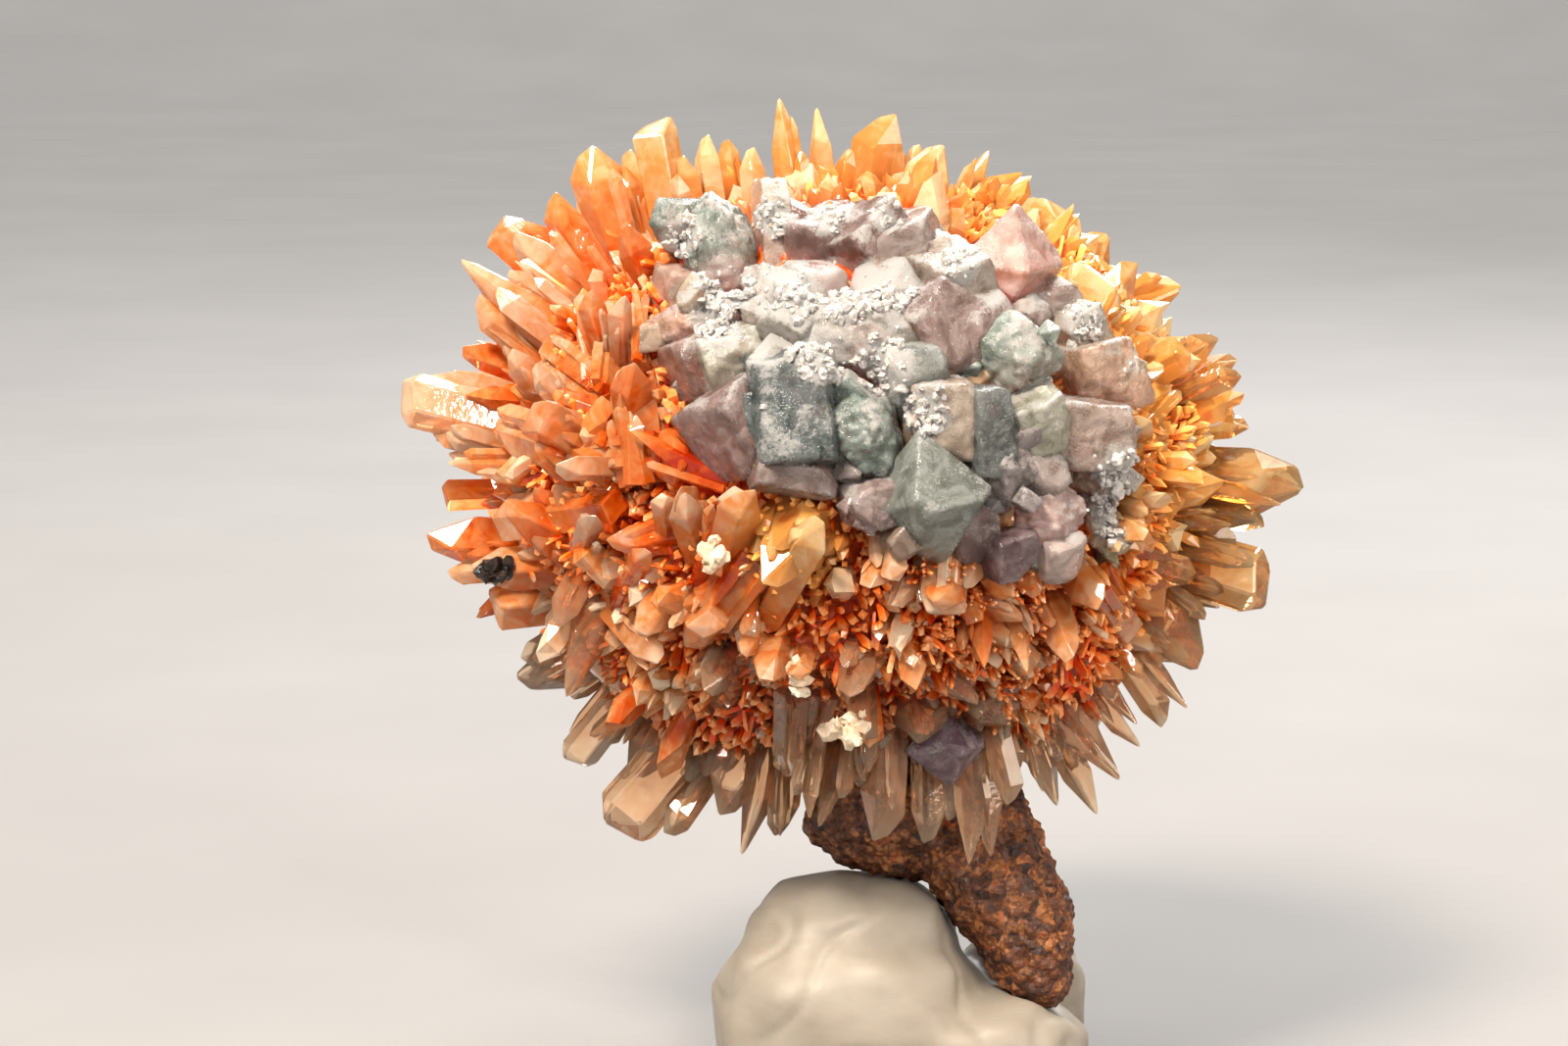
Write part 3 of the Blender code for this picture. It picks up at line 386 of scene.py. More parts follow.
FLUORITES = [Fluorite(*row) for row in [
    ((-10.3, 17.4), (6.6, 10.6, 7.5), 4.4, LUMP, (0, 0, 8), (136, 154, 142), 0.35),
    ((-6.4, 18.6), (2.4, 8.4, 6.5), 2.0, CUT_CUBE, (0, 10, 4), (228, 208, 187), 0.9),
    ((-2.6, 17.6), (6.4, 6.8, 7.0), -0.5, CUT_CUBE, (20, 15, 10), (159, 116, 106), 0.5),
    ((1.2, 17.4), (5.4, 6.0, 6.5), 0.5, CUBE, (25, 30, 50), (159, 120, 107), 0.5),
    ((4.2, 17.0), (4.8, 6.2, 7.0), 1.0, CUT_CUBE, (15, -20, 12), (189, 165, 155), 0.6),
    ((7.0, 14.8), (4.6, 5.6, 7.0), 1.4, CUBE, (30, 25, 20), (208, 188, 171), 0.7),
    ((11.6, 16.6), (10.2, 10.2, 9.6), 4.0, OCTAHEDRON, (12, 18, 0), (229, 192, 177), 0.5),
    ((5.8, 11.4), (6.2, 6.6, 7.0), 0.6, CUT_CUBE, (10, 30, 35), (167, 131, 120), 0.3),
    ((0.0, 11.0), (12.4, 7.6, 7.4), 2.2, LUMP, (-16, 8, -4), (197, 190, 178), 1),
    ((-9.2, 9.0), (5.2, 5.0, 6.0), 1.6, CUT_CUBE, (20, 10, 15), (208, 200, 178), 0.6),
    ((-4.6, 5.4), (6.6, 8.6, 7.4), 2.2, CUT_CUBE, (-8, -14, 6), (80, 96, 94), 0.55),
    ((-8.6, 4.4), (6.0, 6.6, 6.6), 1.2, CUBE, (15, 35, 40), (180, 148, 140), 0.3),
    ((-12.0, 8.4), (3.6, 5.0, 5.6), 1.4, CUT_CUBE, (5, 20, 25), (167, 122, 107), 0.3),
    ((-12.6, 11.8), (7.4, 4.4, 6.0), 1.0, LUMP, (0, 0, 10), (231, 186, 155), 0.7),
    ((0.8, 3.6), (6.4, 7.8, 7.4), 2.0, LUMP, (0, 0, 12), (142, 162, 152), 0.4),
    ((6.4, 4.6), (4.6, 5.8, 6.6), 2.0, CUT_CUBE, (10, 20, 8), (229, 204, 180), 0.6),
    ((8.9, 3.8), (3.4, 6.6, 7.4), 1.6, CUBE, (5, 30, 4), (102, 110, 107), 0.2),
    ((5.7, -1.6), (10.8, 10.8, 9.0), 3.3, OCTAHEDRON, (14, -16, 4), (144, 152, 142), 0.2),
    ((11.2, 1.0), (5.8, 7.4, 7.2), 1.8, LUMP, (0, 0, -10), (176, 162, 160), 0.25),
    ((12.0, 9.2), (8.4, 8.4, 8.0), 1.8, LUMP, (18, 24, 12), (184, 202, 190), 0.4),
    ((13.4, 5.0), (4.8, 4.2, 6.4), 2.4, CUT_CUBE, (25, 10, 20), (201, 200, 178), 0.4),
    ((16.6, 11.0), (3.6, 4.4, 6.0), 1.2, CUBE, (20, 20, 30), (208, 196, 173), 0.6),
    ((18.4, 8.0), (6.0, 5.2, 6.4), 1.4, CUT_CUBE, (10, 30, 14), (238, 192, 158), 0.4),
    ((17.4, 3.4), (7.4, 5.4, 6.6), 2.0, CUT_CUBE, (8, 20, -6), (200, 174, 158), 0.3),
    ((18.2, 0.4), (5.8, 3.8, 5.6), 1.2, LUMP, (0, 0, -8), (232, 204, 176), 0.6),
    ((14.2, -3.0), (7.4, 7.2, 7.0), 1.6, LUMP, (20, 12, 24), (234, 204, 196), 0.55),
    ((11.0, -5.2), (3.6, 3.4, 5.6), 1.8, CUBE, (25, 30, 15), (127, 90, 95), 0.05),
    ((18.6, -3.0), (3.2, 7.6, 5.0), 0.6, LUMP, (0, 0, 14), (232, 206, 166), 0.7),
    ((1.0, -1.6), (3.8, 3.4, 6.0), 1.4, CUT_CUBE, (15, 15, 20), (195, 167, 160), 0.2),
    ((3.6, -4.0), (3.6, 2.8, 6.0), 1.4, CUT_CUBE, (20, 10, 30), (201, 172, 149), 0.1),
    ((-4.8, 0.6), (6.2, 3.2, 6.0), 1.2, CUT_CUBE, (8, 12, -6), (189, 161, 151), 0.2),
]]

# Smaller ones that close the gaps between them.
GAP_FLUORITES = [Fluorite(*row) for row in [
    ((-7.0, 12.2), (4.8, 4.4, 5.0), 1.6, LUMP, (0, 0, 10), (214, 198, 184), 0.8),
    ((-13.4, 14.8), (3.6, 3.4, 4.6), 1.4, CUT_CUBE, (20, 35, 10), (222, 190, 166), 0.5),
    ((-7.2, 15.2), (3.4, 3.4, 4.6), 1.8, LUMP, (0, 0, 30), (212, 200, 190), 0.9),
    ((14.8, 13.6), (3.6, 3.4, 4.4), 1.2, CUT_CUBE, (25, 15, 40), (206, 186, 176), 0.5),
    ((-4.4, 14.4), (3.4, 3.6, 4.6), 1.8, CUT_CUBE, (30, 10, 25), (196, 170, 158), 0.6),
    ((9.6, 12.4), (4.0, 4.2, 4.6), 1.6, CUT_CUBE, (35, 20, 10), (190, 160, 150), 0.4),
    ((13.4, 12.6), (4.0, 3.4, 4.6), 1.2, LUMP, (0, 0, 10), (196, 176, 166), 0.5),
    ((-6.2, 13.8), (4.6, 4.2, 5.0), 1.6, LUMP, (0, 0, 20), (218, 196, 178), 0.7),
    ((-3.0, 14.6), (4.4, 3.8, 5.0), 1.0, CUT_CUBE, (25, 40, 10), (180, 137, 122), 0.5),
    ((2.4, 14.4), (4.6, 3.6, 5.0), 1.4, CUT_CUBE, (40, 10, 30), (210, 186, 169), 0.7),
    ((-9.8, 12.6), (4.2, 3.6, 5.0), 2.0, LUMP, (0, 0, 0), (216, 192, 171), 0.7),
    ((8.6, 10.6), (3.6, 5.0, 5.0), 1.2, CUT_CUBE, (15, 50, 5), (172, 137, 127), 0.3),
    ((4.0, 8.2), (4.4, 4.6, 5.0), 2.2, CUT_CUBE, (35, 25, 15), (159, 165, 158), 0.4),
    ((-0.4, 0.8), (3.4, 3.2, 4.6), 1.8, OCTAHEDRON, (20, 10, 30), (180, 163, 155), 0.3),
    ((13.6, 0.6), (3.8, 4.4, 5.0), 1.6, CUT_CUBE, (10, 30, 50), (187, 165, 155), 0.3),
    ((8.8, -3.6), (3.6, 3.4, 4.6), 1.4, CUT_CUBE, (50, 20, 10), (159, 129, 127), 0.1),
]]

PURPLE_FLUORITE = Fluorite(
    (7.1, -20.4), (7.4, 6.4, 6.6), 9.6, OCTAHEDRON, (10, 20, 8), (160, 128, 148), 0.45
)

# No tuft of needles stands this near to the purple one.
PURPLE_CLEAR = 5.2

# Where white crust lies thickest on the front of the fluorite: across, up and radius, and how many lumps.
CRUST_PATCHES = [
    (-12.9, 17.6, 1.4, 26),
    (-6.3, 19.1, 1.3, 26),
    (-9.5, 14.0, 2.0, 40),
    (-10.4, 11.6, 1.7, 30),
    (-4.6, 13.2, 2.2, 44),
    (-0.6, 13.4, 2.4, 50),
    (2.6, 13.6, 1.6, 26),
    (-2.6, 8.6, 2.0, 36),
    (1.6, 7.8, 2.0, 40),
    (4.6, 4.6, 1.6, 30),
    (2.0, 18.9, 1.0, 16),
    (-2.4, 18.9, 1.2, 20),
    (16.4, 11.4, 1.4, 22),
    (18.8, -2.6, 1.9, 46),
    (18.8, 0.6, 1.6, 34),
    (7.4, 15.4, 1.4, 20),
]

# Hollows of the front view where only short crystals grow: across, up and radius.
HOLLOWS = [
    (-1.8, -10.6, 3.6),
    (-3.4, -14.4, 3.8),
    (3.4, -16.4, 2.4),
    (-13.2, -9.8, 2.4),
    (-16.6, -1.9, 2.2),
    (-10.6, -15.8, 2.6),
    (-13.6, 3.4, 2.2),
    (8.4, -17.0, 2.8),
    (13.4, -15.4, 2.2),
    (19.5, -6.4, 2.6),
]

# The smoky end of a crystal at the left rim: how far toward the viewer it is, and across, up and size of
# each lump in it.
SMOKY_TOWARD = 6.5
SMOKY_LUMPS = [(-28.2, -7.0, 0.6), (-27.5, -6.8, 0.9), (-26.6, -6.8, 0.9), (-27.2, -7.2, 0.7)]

# Cream lumps of the lower front: across, up, toward the viewer, how far they are spread, and how many.
CREAM_LUMPS = [(0.1, -19.3, 19.2, 0.55, 16), (-4.4, -14.9, 21.2, 0.3, 7), (-10.6, -5.9, 24.6, 0.45, 10)]


def shade(red, green, blue):
    """A colour as it looks on a screen, from 0 to 255, as the linear colour that a shader takes."""
    steps = [part / 255 for part in (red, green, blue)]
    return tuple(part / 12.92 if part < 0.04045 else ((part + 0.055) / 1.055) ** 2.4 for part in steps)


def seen(across, up, toward):
    """The point that the front view shows at (across, up), this far in front of the ball's centre."""
    nearer = toward / VIEW_DISTANCE
    sideways = across + (EYE_ACROSS - across) * nearer
    upward = up + (EYE_UP - up) * nearer
    return CENTRE + RIGHT * sideways + UP * upward + TOWARD * toward


def in_view(points):
    """The points in the front view's own axes, from the ball's centre: across, up and toward the viewer."""
    return (points - np.array(CENTRE)) @ VIEW_AXES.T


def skin_depth(across, up):
    """How far toward the viewer the core's skin is there, 0 at its rim and outside it."""
    inside = 1 - (across / CORE_ACROSS) ** 2 - (up / CORE_UP) ** 2
    return CORE_TOWARD * math.sqrt(max(inside, 0))


def smooth_step(low, high, value):
    """0 at low, 1 at high, smooth between them and even beyond them. low may be the larger."""
    share = np.clip((np.asarray(value, float) - low) / (high - low), 0, 1)
    return share * share * (3 - 2 * share)


def unit_rows(rows):
    """Each row, scaled to a length of one."""
    return rows / np.linalg.norm(rows, axis=1)[:, None]


def noise_at(points, size, shift=(0, 0, 0)):
    """Noise with features of this size at each point, from about -1 to 1."""
    return np.array([noise.noise(Vector(point) / size + Vector(shift)) for point in points])


class Gathering:
    """Collects many shapes into one mesh, with four values for each point in an attribute."""

    def __init__(self):
        self.points = []
        self.faces = []
        self.values = []
        self.count = 0

    def add(self, points, faces, values):
        """points and values have a row for each point; faces count from this shape's first point."""
        self.points.append(np.asarray(points, float))
        self.faces.extend(tuple(int(corner) + self.count for corner in face) for face in faces)
        self.values.append(np.asarray(values, float))
        self.count += len(points)

    def build(self, name, material, node, smooth=False):
        """Makes the object, which rides on the body and takes the given material, and hides the node's
        solid.
        """
        mesh = bpy.data.meshes.new(name)
        mesh.from_pydata(np.concatenate(self.points) * MM, [], self.faces)
        attribute = mesh.color_attributes.new(name="growth", type="FLOAT_COLOR", domain="POINT")
        attribute.data.foreach_set("color", np.concatenate(self.values).astype(np.float32).ravel())
        if smooth:
            mesh.shade_smooth()
        else:
            mesh.shade_flat()
        made = bpy.data.objects.new(name, mesh)
        bpy.context.scene.collection.objects.link(made)
        mesh.materials.append(material)
        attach(made, "root")
        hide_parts(node)


# The shapes of the large crystals, as the solids have them


def crystal_points(root, tip, width, form, chance):
    """The corners of one creedite crystal from root to tip, with its section's width across the view."""
    axis = (tip - root).normalized()
    across = axis.cross(TOWARD)
    if across.length < 0.2:
        across = axis.cross(UP)
    across.normalize()
    across = Matrix.Rotation(chance.uniform(-TWIST, TWIST), 3, axis) @ across
    thick = axis.cross(across)
    start = root - axis * EMBED
    length = (tip - start).length
    narrow = SHOULDER[form]
    points = []
    for share, thick_share in SIX_RING if width >= SIX_SIDED_FROM else DIAMOND_RING:
        x, y = width * share, width * THICKNESS * thick_share
        points.append(start + across * (x * FOOT) + thick * (y * FOOT))
        drop = width * FACET_DROP[form] * chance.uniform(*DROP_VARIES)
        shoulder = start + axis * max(length - drop, length * SHORTEST_SIDE)
        points.append(shoulder + across * (x * narrow) + thick * (y * narrow))
    ridge = RIDGE[form] * width
    lean = chance.uniform(-TIP_LEAN, TIP_LEAN) * width
    points.append(tip + across * (lean + ridge))
    points.append(tip + across * (lean - ridge) - axis * (RIDGE_DROP * width))
    if form == BLUNT:
        points.append(tip + thick * ridge - axis * (BLUNT_DROP * width))
    return points


def listed_crystals():
    """Each crystal that the lists name: its root, tip, width, tone and corners."""
    for number, crystal in enumerate(LEFT_RIM + BOTTOM_RIM + RIGHT_RIM + TOP_RIM + FACE):
        chance = random.Random(number)
        depth = skin_depth(*crystal.root) if crystal.depth is None else crystal.depth
        root = seen(*crystal.root, depth)
        tip = seen(*crystal.tip, depth + crystal.lift)
        width = crystal.width
        tone = random.Random(TONE_SEED + number).uniform(0.2, 1)
        yield root, tip, width, tone, crystal_points(root, tip, width, crystal.form, chance)
        if width >= TWIN_FROM:
            aside = chance.choice((-TWIN_ASIDE, TWIN_ASIDE))
            side = (tip - root).cross(TOWARD).normalized() * width * aside
            foot, head = root + side, root.lerp(tip, chance.uniform(*TWIN_LENGTH)) + side
            thin = width * TWIN_WIDTH
            yield foot, head, thin, tone * TWIN_TONE, crystal_points(foot, head, thin, WEDGE, chance)


def front_blades():
    """Each blade of the front, in the same terms."""
    for number, blade in enumerate(FRONT_BLADES):
        chance = random.Random(BLADE_SEED + number)
        root = seen(*blade.root, skin_depth(*blade.root) + BLADE_ROOT)
        tip = seen(*blade.tip, skin_depth(*blade.tip) + BLADE_TIP)
        corners = crystal_points(root, tip, blade.width, blade.form, chance)
        yield root, tip, blade.width, blade.tone, corners


def spread_crystals():
    """Each crystal that no list names, spread over the ball by the golden angle, in the same terms."""
    places = [crystal.root for crystal in FACE] + [crystal.at for crystal in FLUORITES]
    taken = [Vector((*place, skin_depth(*place))) for place in places]
    for number in range(SPREAD_COUNT):
        chance = random.Random(SPREAD_SEED + number)
        up = 1 - 2 * (number + 0.5) / SPREAD_COUNT
        ring = math.sqrt(1 - up * up)
        angle = GOLDEN_ANGLE * number
        way = Vector((ring * math.cos(angle), up, ring * math.sin(angle)))
        way += Vector(chance.uniform(-SPREAD_STRAY, SPREAD_STRAY) for _ in range(3))
        way.normalize()
        reach = chance.uniform(*SPREAD_REACH)
        width = chance.uniform(*SPREAD_WIDTH)
        lean = Vector(chance.uniform(-SPREAD_LEAN, SPREAD_LEAN) for _ in range(3))
        form = chance.choice((SPIKE, WEDGE, WEDGE, BLUNT))
        if way.y < UNDERSIDE:
            continue
        stretch = (way.x / CORE_ACROSS) ** 2 + (way.y / CORE_UP) ** 2 + (way.z / CORE_TOWARD) ** 2
        foot = way * (1 / math.sqrt(stretch) - SPREAD_SUNK)
        if way.z > 0:
            reach = chance.uniform(*FRONT_REACH)
            if min((foot - root).length for root in taken) < FRONT_CLEAR:
                continue
        head = foot + (way + lean).normalized() * reach
        root = CENTRE + RIGHT * foot.x + UP * foot.y + TOWARD * foot.z
        tip = CENTRE + RIGHT * head.x + UP * head.y + TOWARD * head.z
        tone = random.Random(SPREAD_TONE_SEED + number).random()
        yield root, tip, width, tone, crystal_points(root, tip, width, form, chance)


# The creedite's detail


def regions_of(points):
    """How golden and how dark each point is: golden to the right and on top, where it is painted glow, and
    around one crystal of the front; dark below, partly the crystals' own tint and partly painted shade.
    """
    across, up, toward = in_view(points).T
    golden = smooth_step(*GOLDEN_GLOW_RIGHT, across + 0.5 * up)
    golden = np.maximum(golden, 0.9 * smooth_step(*GOLDEN_GLOW_TOP, up))
    away = np.hypot(across - GOLDEN_SPOT[0], up - GOLDEN_SPOT[1])
    golden = np.maximum(golden, np.where(toward > 0, smooth_step(*GOLDEN_NEAR, away), 0))
    return golden, smooth_step(*DARK_AND_SHADED_BELOW, up)


def growth_values(points, root, tip, tone):
    """For each point: how far along the crystal it is, the tone, how golden and how dark it is."""
    root, tip = np.array(root), np.array(tip)
    axis = (tip - root) / np.linalg.norm(tip - root)
    along = np.clip((points - root) @ axis / np.linalg.norm(tip - root), 0, 1)
    return np.column_stack([along, np.full(len(points), tone), *regions_of(points)])


def bevelled_hull(corners, bevel):
    """The convex crystal around the corners, with its edges broken."""
    shell = bmesh.new()
    for corner in corners:
        shell.verts.new(corner)
    hull = bmesh.ops.convex_hull(shell, input=shell.verts)
    inner = hull["geom_interior"] + hull["geom_unused"]
    loose = {part for part in inner if isinstance(part, bmesh.types.BMVert)}
    bmesh.ops.delete(shell, geom=list(loose), context="VERTS")
    bmesh.ops.dissolve_limit(shell, angle_limit=math.radians(1), verts=shell.verts, edges=shell.edges)
    bmesh.ops.recalc_face_normals(shell, faces=shell.faces)
    edges = list(shell.edges)
    bmesh.ops.bevel(shell, geom=edges, offset=bevel, segments=1, affect="EDGES", clamp_overlap=True)
    return points_and_faces(shell)


def points_and_faces(shell):
    """The shell's points and faces, after which the shell is gone."""
    shell.verts.index_update()
    points = np.array([vert.co for vert in shell.verts])
    faces = [[vert.index for vert in face.verts] for face in shell.faces]
    shell.free()
    return points, faces


def companions_of(root, tip, width, chance):
    """Thinner crystals grown along a large one, which give it stepped tips."""
    axis = (tip - root).normalized()
    side = axis.cross(TOWARD) if abs(axis.dot(TOWARD)) < 0.95 else axis.cross(UP)
    side.normalize()
    front = axis.cross(side)
    reach = (tip - root).length
    for _ in range(2 + int(width)):
        angle = chance.uniform(0, math.tau)
        out = side * math.cos(angle) * COMPANION_ACROSS + front * math.sin(angle) * COMPANION_FRONT
        share = chance.uniform(*COMPANION_LENGTH)
        thin = width * chance.uniform(*COMPANION_WIDTH)
        foot = root + out * width
        lean = side * chance.uniform(-COMPANION_LEAN, COMPANION_LEAN)
        lean += front * chance.uniform(-COMPANION_LEAN, COMPANION_LEAN)
        head = foot + (axis + lean).normalized() * reach * share
        form = chance.choice((SPIKE, WEDGE, WEDGE))
        yield foot, head, thin, crystal_points(foot, head, thin, form, chance)


def creedite_blades():
    """The large crystals, and those that grow along them."""
    veiled, clear = Gathering(), Gathering()
    crystals = [*listed_crystals(), *front_blades(), *spread_crystals()]
    for number, (root, tip, width, tone, corners) in enumerate(crystals):
        chance = random.Random(COMPANION_SEED + number)
        blades = veiled
        if (tip - CENTRE).dot(UP) < CLEAR_BELOW or (tip - CENTRE).x > CLEAR_BEYOND:
            blades = clear
            tone = max(tone, CLEAR_TONE)
        points, faces = bevelled_hull(corners, BEVEL * width)
        blades.add(points, faces, growth_values(points, root, tip, tone))
        for foot, head, thin, thin_corners in companions_of(root, tip, width, chance):
            points, faces = bevelled_hull(thin_corners, BEVEL * thin)
            thin_tone = min(max(tone + chance.uniform(-COMPANION_TONE, COMPANION_TONE), 0), 1)
            blades.add(points, faces, growth_values(points, foot, head, thin_tone))
    cloudy = creedite_material("creedite_veiled", transmission=0.6, roughness=0.03)
    glassy = creedite_material("creedite_clear", transmission=0.85, roughness=0.025, paling=0.5)
    veiled.build("creedite_blades", cloudy, "creedite_cluster")
    clear.build("creedite_clear_blades", glassy, "creedite_cluster")


def even_ways(count, seed):
    """Directions spread evenly over the ball down to its underside, a little disturbed."""
    rng = np.random.default_rng(seed)
    number = np.arange(count)
    up = 1 - 2 * (number + 0.5) / count
    ring = np.sqrt(1 - up * up)
    angle = GOLDEN_ANGLE * number
    ways = np.column_stack([ring * np.cos(angle), up, ring * np.sin(angle)])
    ways = unit_rows(ways + rng.normal(0, 0.6 / math.sqrt(count), ways.shape))
    return ways[ways[:, 1] > SMALL_UNDERSIDE]


def skin_points(ways):
    """Where these directions from the ball's centre, in view axes, meet the core's lumpy skin."""
    points = np.empty_like(ways)
    for number, way in enumerate(ways):
        place = way * CORE_HALF
        world = Vector(place @ VIEW_AXES) + CENTRE
        points[number] = place + way / np.linalg.norm(way) * CORE_LUMPS * noise.noise(world / LUMP_SPAN)
    return points @ VIEW_AXES + np.array(CENTRE)


def outward_ways(ways):
    """The core's outward directions there, in the frame's own axes."""
    return unit_rows(ways / CORE_HALF) @ VIEW_AXES


def clear_of_neighbours(points, swell):
    """True for the points that neither lie in a fluorite nor hide it from the front."""
    clear = np.ones(len(points), bool)
    for crystal in [*FLUORITES, *GAP_FLUORITES, PURPLE_FLUORITE]:
        view = (points - middle_of(crystal)) @ VIEW_AXES.T
        view[:, 2] = np.minimum(view[:, 2], 0)
        clear &= ((view / (np.array(crystal.size) / 2 + swell)) ** 2).sum(axis=1) > 1
    return clear


def clear_of_blades(points):
    """True for the points that don't hide one of the front's listed blades."""
    clear = np.ones(len(points), bool)
    view = in_view(points)
    for blade in FRONT_BLADES:
        tip, root = np.array(blade.tip), np.array(blade.root)
        along = np.clip((view[:, :2] - root) @ (tip - root) / ((tip - root) @ (tip - root)), 0, 1)
        away = np.linalg.norm(view[:, :2] - root - along[:, None] * (tip - root), axis=1)
        clear &= (away > BLADE_CLEAR * blade.width) | (view[:, 2] < 0)
    return clear


def growth_depth(points):
    """How tall the small crystals grow there: short in the hollows and tall between them."""
    tall = smooth_step(-0.32, 0.28, noise_at(points, 4.2, (3, 7, 1)))
    view = in_view(points)
    for across, up, radius in HOLLOWS:
        away = np.hypot(view[:, 0] - across, view[:, 1] - up)
        tall = tall * np.where(view[:, 2] > 0, smooth_step(0.3, 1.1, away / radius), 1)
    return np.where(view[:, 2] > 4, 0.8 * tall, tall)


def prism_faces(corners, top):
    """The faces of a prism with this many corners, which these faces close at its top."""
    sides = []
    for here in range(corners):
        after = (here + 1) % corners
        sides.append((here, after, after + corners, here + corners))
    return [tuple(reversed(range(corners))), *sides, *top]


# The small crystals stay this far inside the solids' box.
INSIDE_BOX = 0.2

# Their prisms: the section's corners, and the faces.
SIX_SIDED = SIX_RING, prism_faces(
    6, [(6, 7, 12), (7, 8, 13, 12), (8, 9, 13), (9, 10, 13), (10, 11, 12, 13), (11, 6, 12)]
)
FOUR_SIDED = [(0.5, 0.5), (-0.5, 0.5), (-0.5, -0.5), (0.5, -0.5)], prism_faces(
    4, [(4, 5, 9, 8), (6, 7, 8, 9), (7, 4, 8), (5, 6, 9)]
)


def prism_swarm(gathering, prism, rng, feet, axes, reaches, widths, tones):
    """Adds many crystals with wedge tips, worked out all at once, that stay inside the solids' box."""
    axes = unit_rows(axes)
    tips = feet + axes * reaches[:, None]
    low, high = np.array(cad_bounds[0]) / MM + INSIDE_BOX, np.array(cad_bounds[1]) / MM - INSIDE_BOX
    keep = ((tips > low) & (tips < high)).all(axis=1)
    feet, axes, reaches, widths, tones = (rows[keep] for rows in (feet, axes, reaches, widths, tones))
    count = len(feet)
    side = unit_rows(np.cross(axes, rng.normal(size=(count, 3))))
    front = np.cross(axes, side)
    thick = widths * rng.uniform(0.55, 1.0, count)
    ring, ring_faces = prism
    corners = len(ring)
    each = 2 * corners + 2
    points = np.empty((count, each, 3))
    for number, (x, y) in enumerate(ring):
        offset = side * (x * widths)[:, None] + front * (y * thick)[:, None]
        points[:, number] = feet - axes * (widths * 0.8)[:, None] + offset * 0.7
        drop = widths * rng.uniform(0.3, 1.3, count)
        height = np.maximum(reaches - drop, reaches * 0.3)
        points[:, corners + number] = feet + axes * height[:, None] + offset
    lean = side * (widths * rng.uniform(-0.2, 0.2, count))[:, None]
    ridge = side * (widths * rng.uniform(0.03, 0.22, count))[:, None]
    points[:, -2] = feet + axes * reaches[:, None] + lean + ridge
    points[:, -1] = feet + axes * (reaches - 0.12 * widths)[:, None] + lean - ridge
    along = np.tile([0.0] * corners + [0.8] * corners + [1.0, 1.0], count)
    flat = points.reshape(-1, 3)
    faces = [
        tuple(corner + each * number for corner in face) for number in range(count) for face in ring_faces
    ]
    gathering.add(flat, faces, np.column_stack([along, np.repeat(tones, each), *regions_of(flat)]))


# The bunches of blades: how many are spread over the whole ball, how many blades each has, a bunch's height
# and width, its blades' shares of them, and how far they stand apart and spread.
BUNCHES = 640
BUNCH_BLADES = (4, 10)
BUNCH_HEIGHT = (2.2, 4.8)
BUNCH_WIDTH = (1.0, 2.3)
BLADE_HEIGHTS = (0.4, 1.0)
BLADE_WIDTHS = (0.4, 1.35)
BLADES_APART = 0.9
BLADES_SPREAD = 0.28

# Where crystals grow at least this tall, a bunch's first blade is taller, wider and paler.
LEADER_FROM = 0.45
LEADER_HEIGHT = (1.0, 1.3)
LEADER_WIDTH = (1.8, 3.3)
LEADER_TONE = 0.2

# This share of the blades is far paler than the rest: partly frosted pale crystals and partly painted glints
# of white facets.
PALE_AND_GLINT_SHARE = 0.08
PALE_AND_GLINT_TONE = 0.7


def creedite_sheaves():
    """Bunches of blades that fan out from the core between the large crystals."""
    rng = np.random.default_rng(BUNCH_SEED)
    ways = even_ways(BUNCHES, BUNCH_WAYS_SEED)
    centres = skin_points(ways)
    aside = ways * (1, 1, 0)
    aside = aside / np.maximum(np.linalg.norm(aside, axis=1), 0.3)[:, None] @ VIEW_AXES
    blades = []
    for centre, out, side, growth in zip(centres, outward_ways(ways), aside, growth_depth(centres)):
        lean = out + side * rng.uniform(0.1, 0.9) + rng.normal(0, 0.45, 3)
        lean /= np.linalg.norm(lean)
        top = rng.uniform(*BUNCH_HEIGHT) * (0.3 + 0.7 * growth)
        size = rng.uniform(*BUNCH_WIDTH) * (0.6 + 0.4 * growth)
        # A bunch is darker where its crystals grow short, as in the hollows: partly the deeper stain of the
        # recesses and partly painted shade.
        tone = rng.random() * (0.4 + 0.6 * growth)
        for member in range(rng.integers(*BUNCH_BLADES)):
            leads = member == 0 and growth > LEADER_FROM
            offset = rng.normal(0, BLADES_APART, 3)
            offset -= lean * (offset @ lean)
            axis = lean + offset * BLADES_SPREAD + rng.normal(0, 0.14, 3)
            reach = top * rng.uniform(*(LEADER_HEIGHT if leads else BLADE_HEIGHTS))
            width = rng.uniform(*LEADER_WIDTH) if leads else size * rng.uniform(*BLADE_WIDTHS)
            own_tone = np.clip(tone + rng.normal(LEADER_TONE if leads else 0, 0.22), 0, 1)
            # The few far paler blades are partly frosted crystals and partly painted glints.
            own_tone += PALE_AND_GLINT_TONE * (rng.random() < PALE_AND_GLINT_SHARE)
            blades.append((centre + offset, axis, reach, width, own_tone))
    feet, axes, reaches, widths, tones = (np.array(column) for column in zip(*blades))
    keep = clear_of_neighbours(feet, 0.1)
    for share in (0.5, 1.0):
        place = feet + axes * reaches[:, None] * share
        keep &= clear_of_neighbours(place, 0.4) & clear_of_blades(place)
    bunches = Gathering()
    kept = (rows[keep] for rows in (feet, axes, reaches, widths, tones))
    prism_swarm(bunches, SIX_SIDED, rng, *kept)
    material = creedite_material("creedite_sheaf", transmission=0.45, roughness=0.035)
    bunches.build("creedite_sheaves", material, "creedite_cluster")


# The fine crystals of the whole ball: how many there are, their heights and their widths.
FINE_CRYSTALS = 9500
FINE_HEIGHT = (0.5, 1.9)
FINE_WIDTH = (0.25, 0.75)

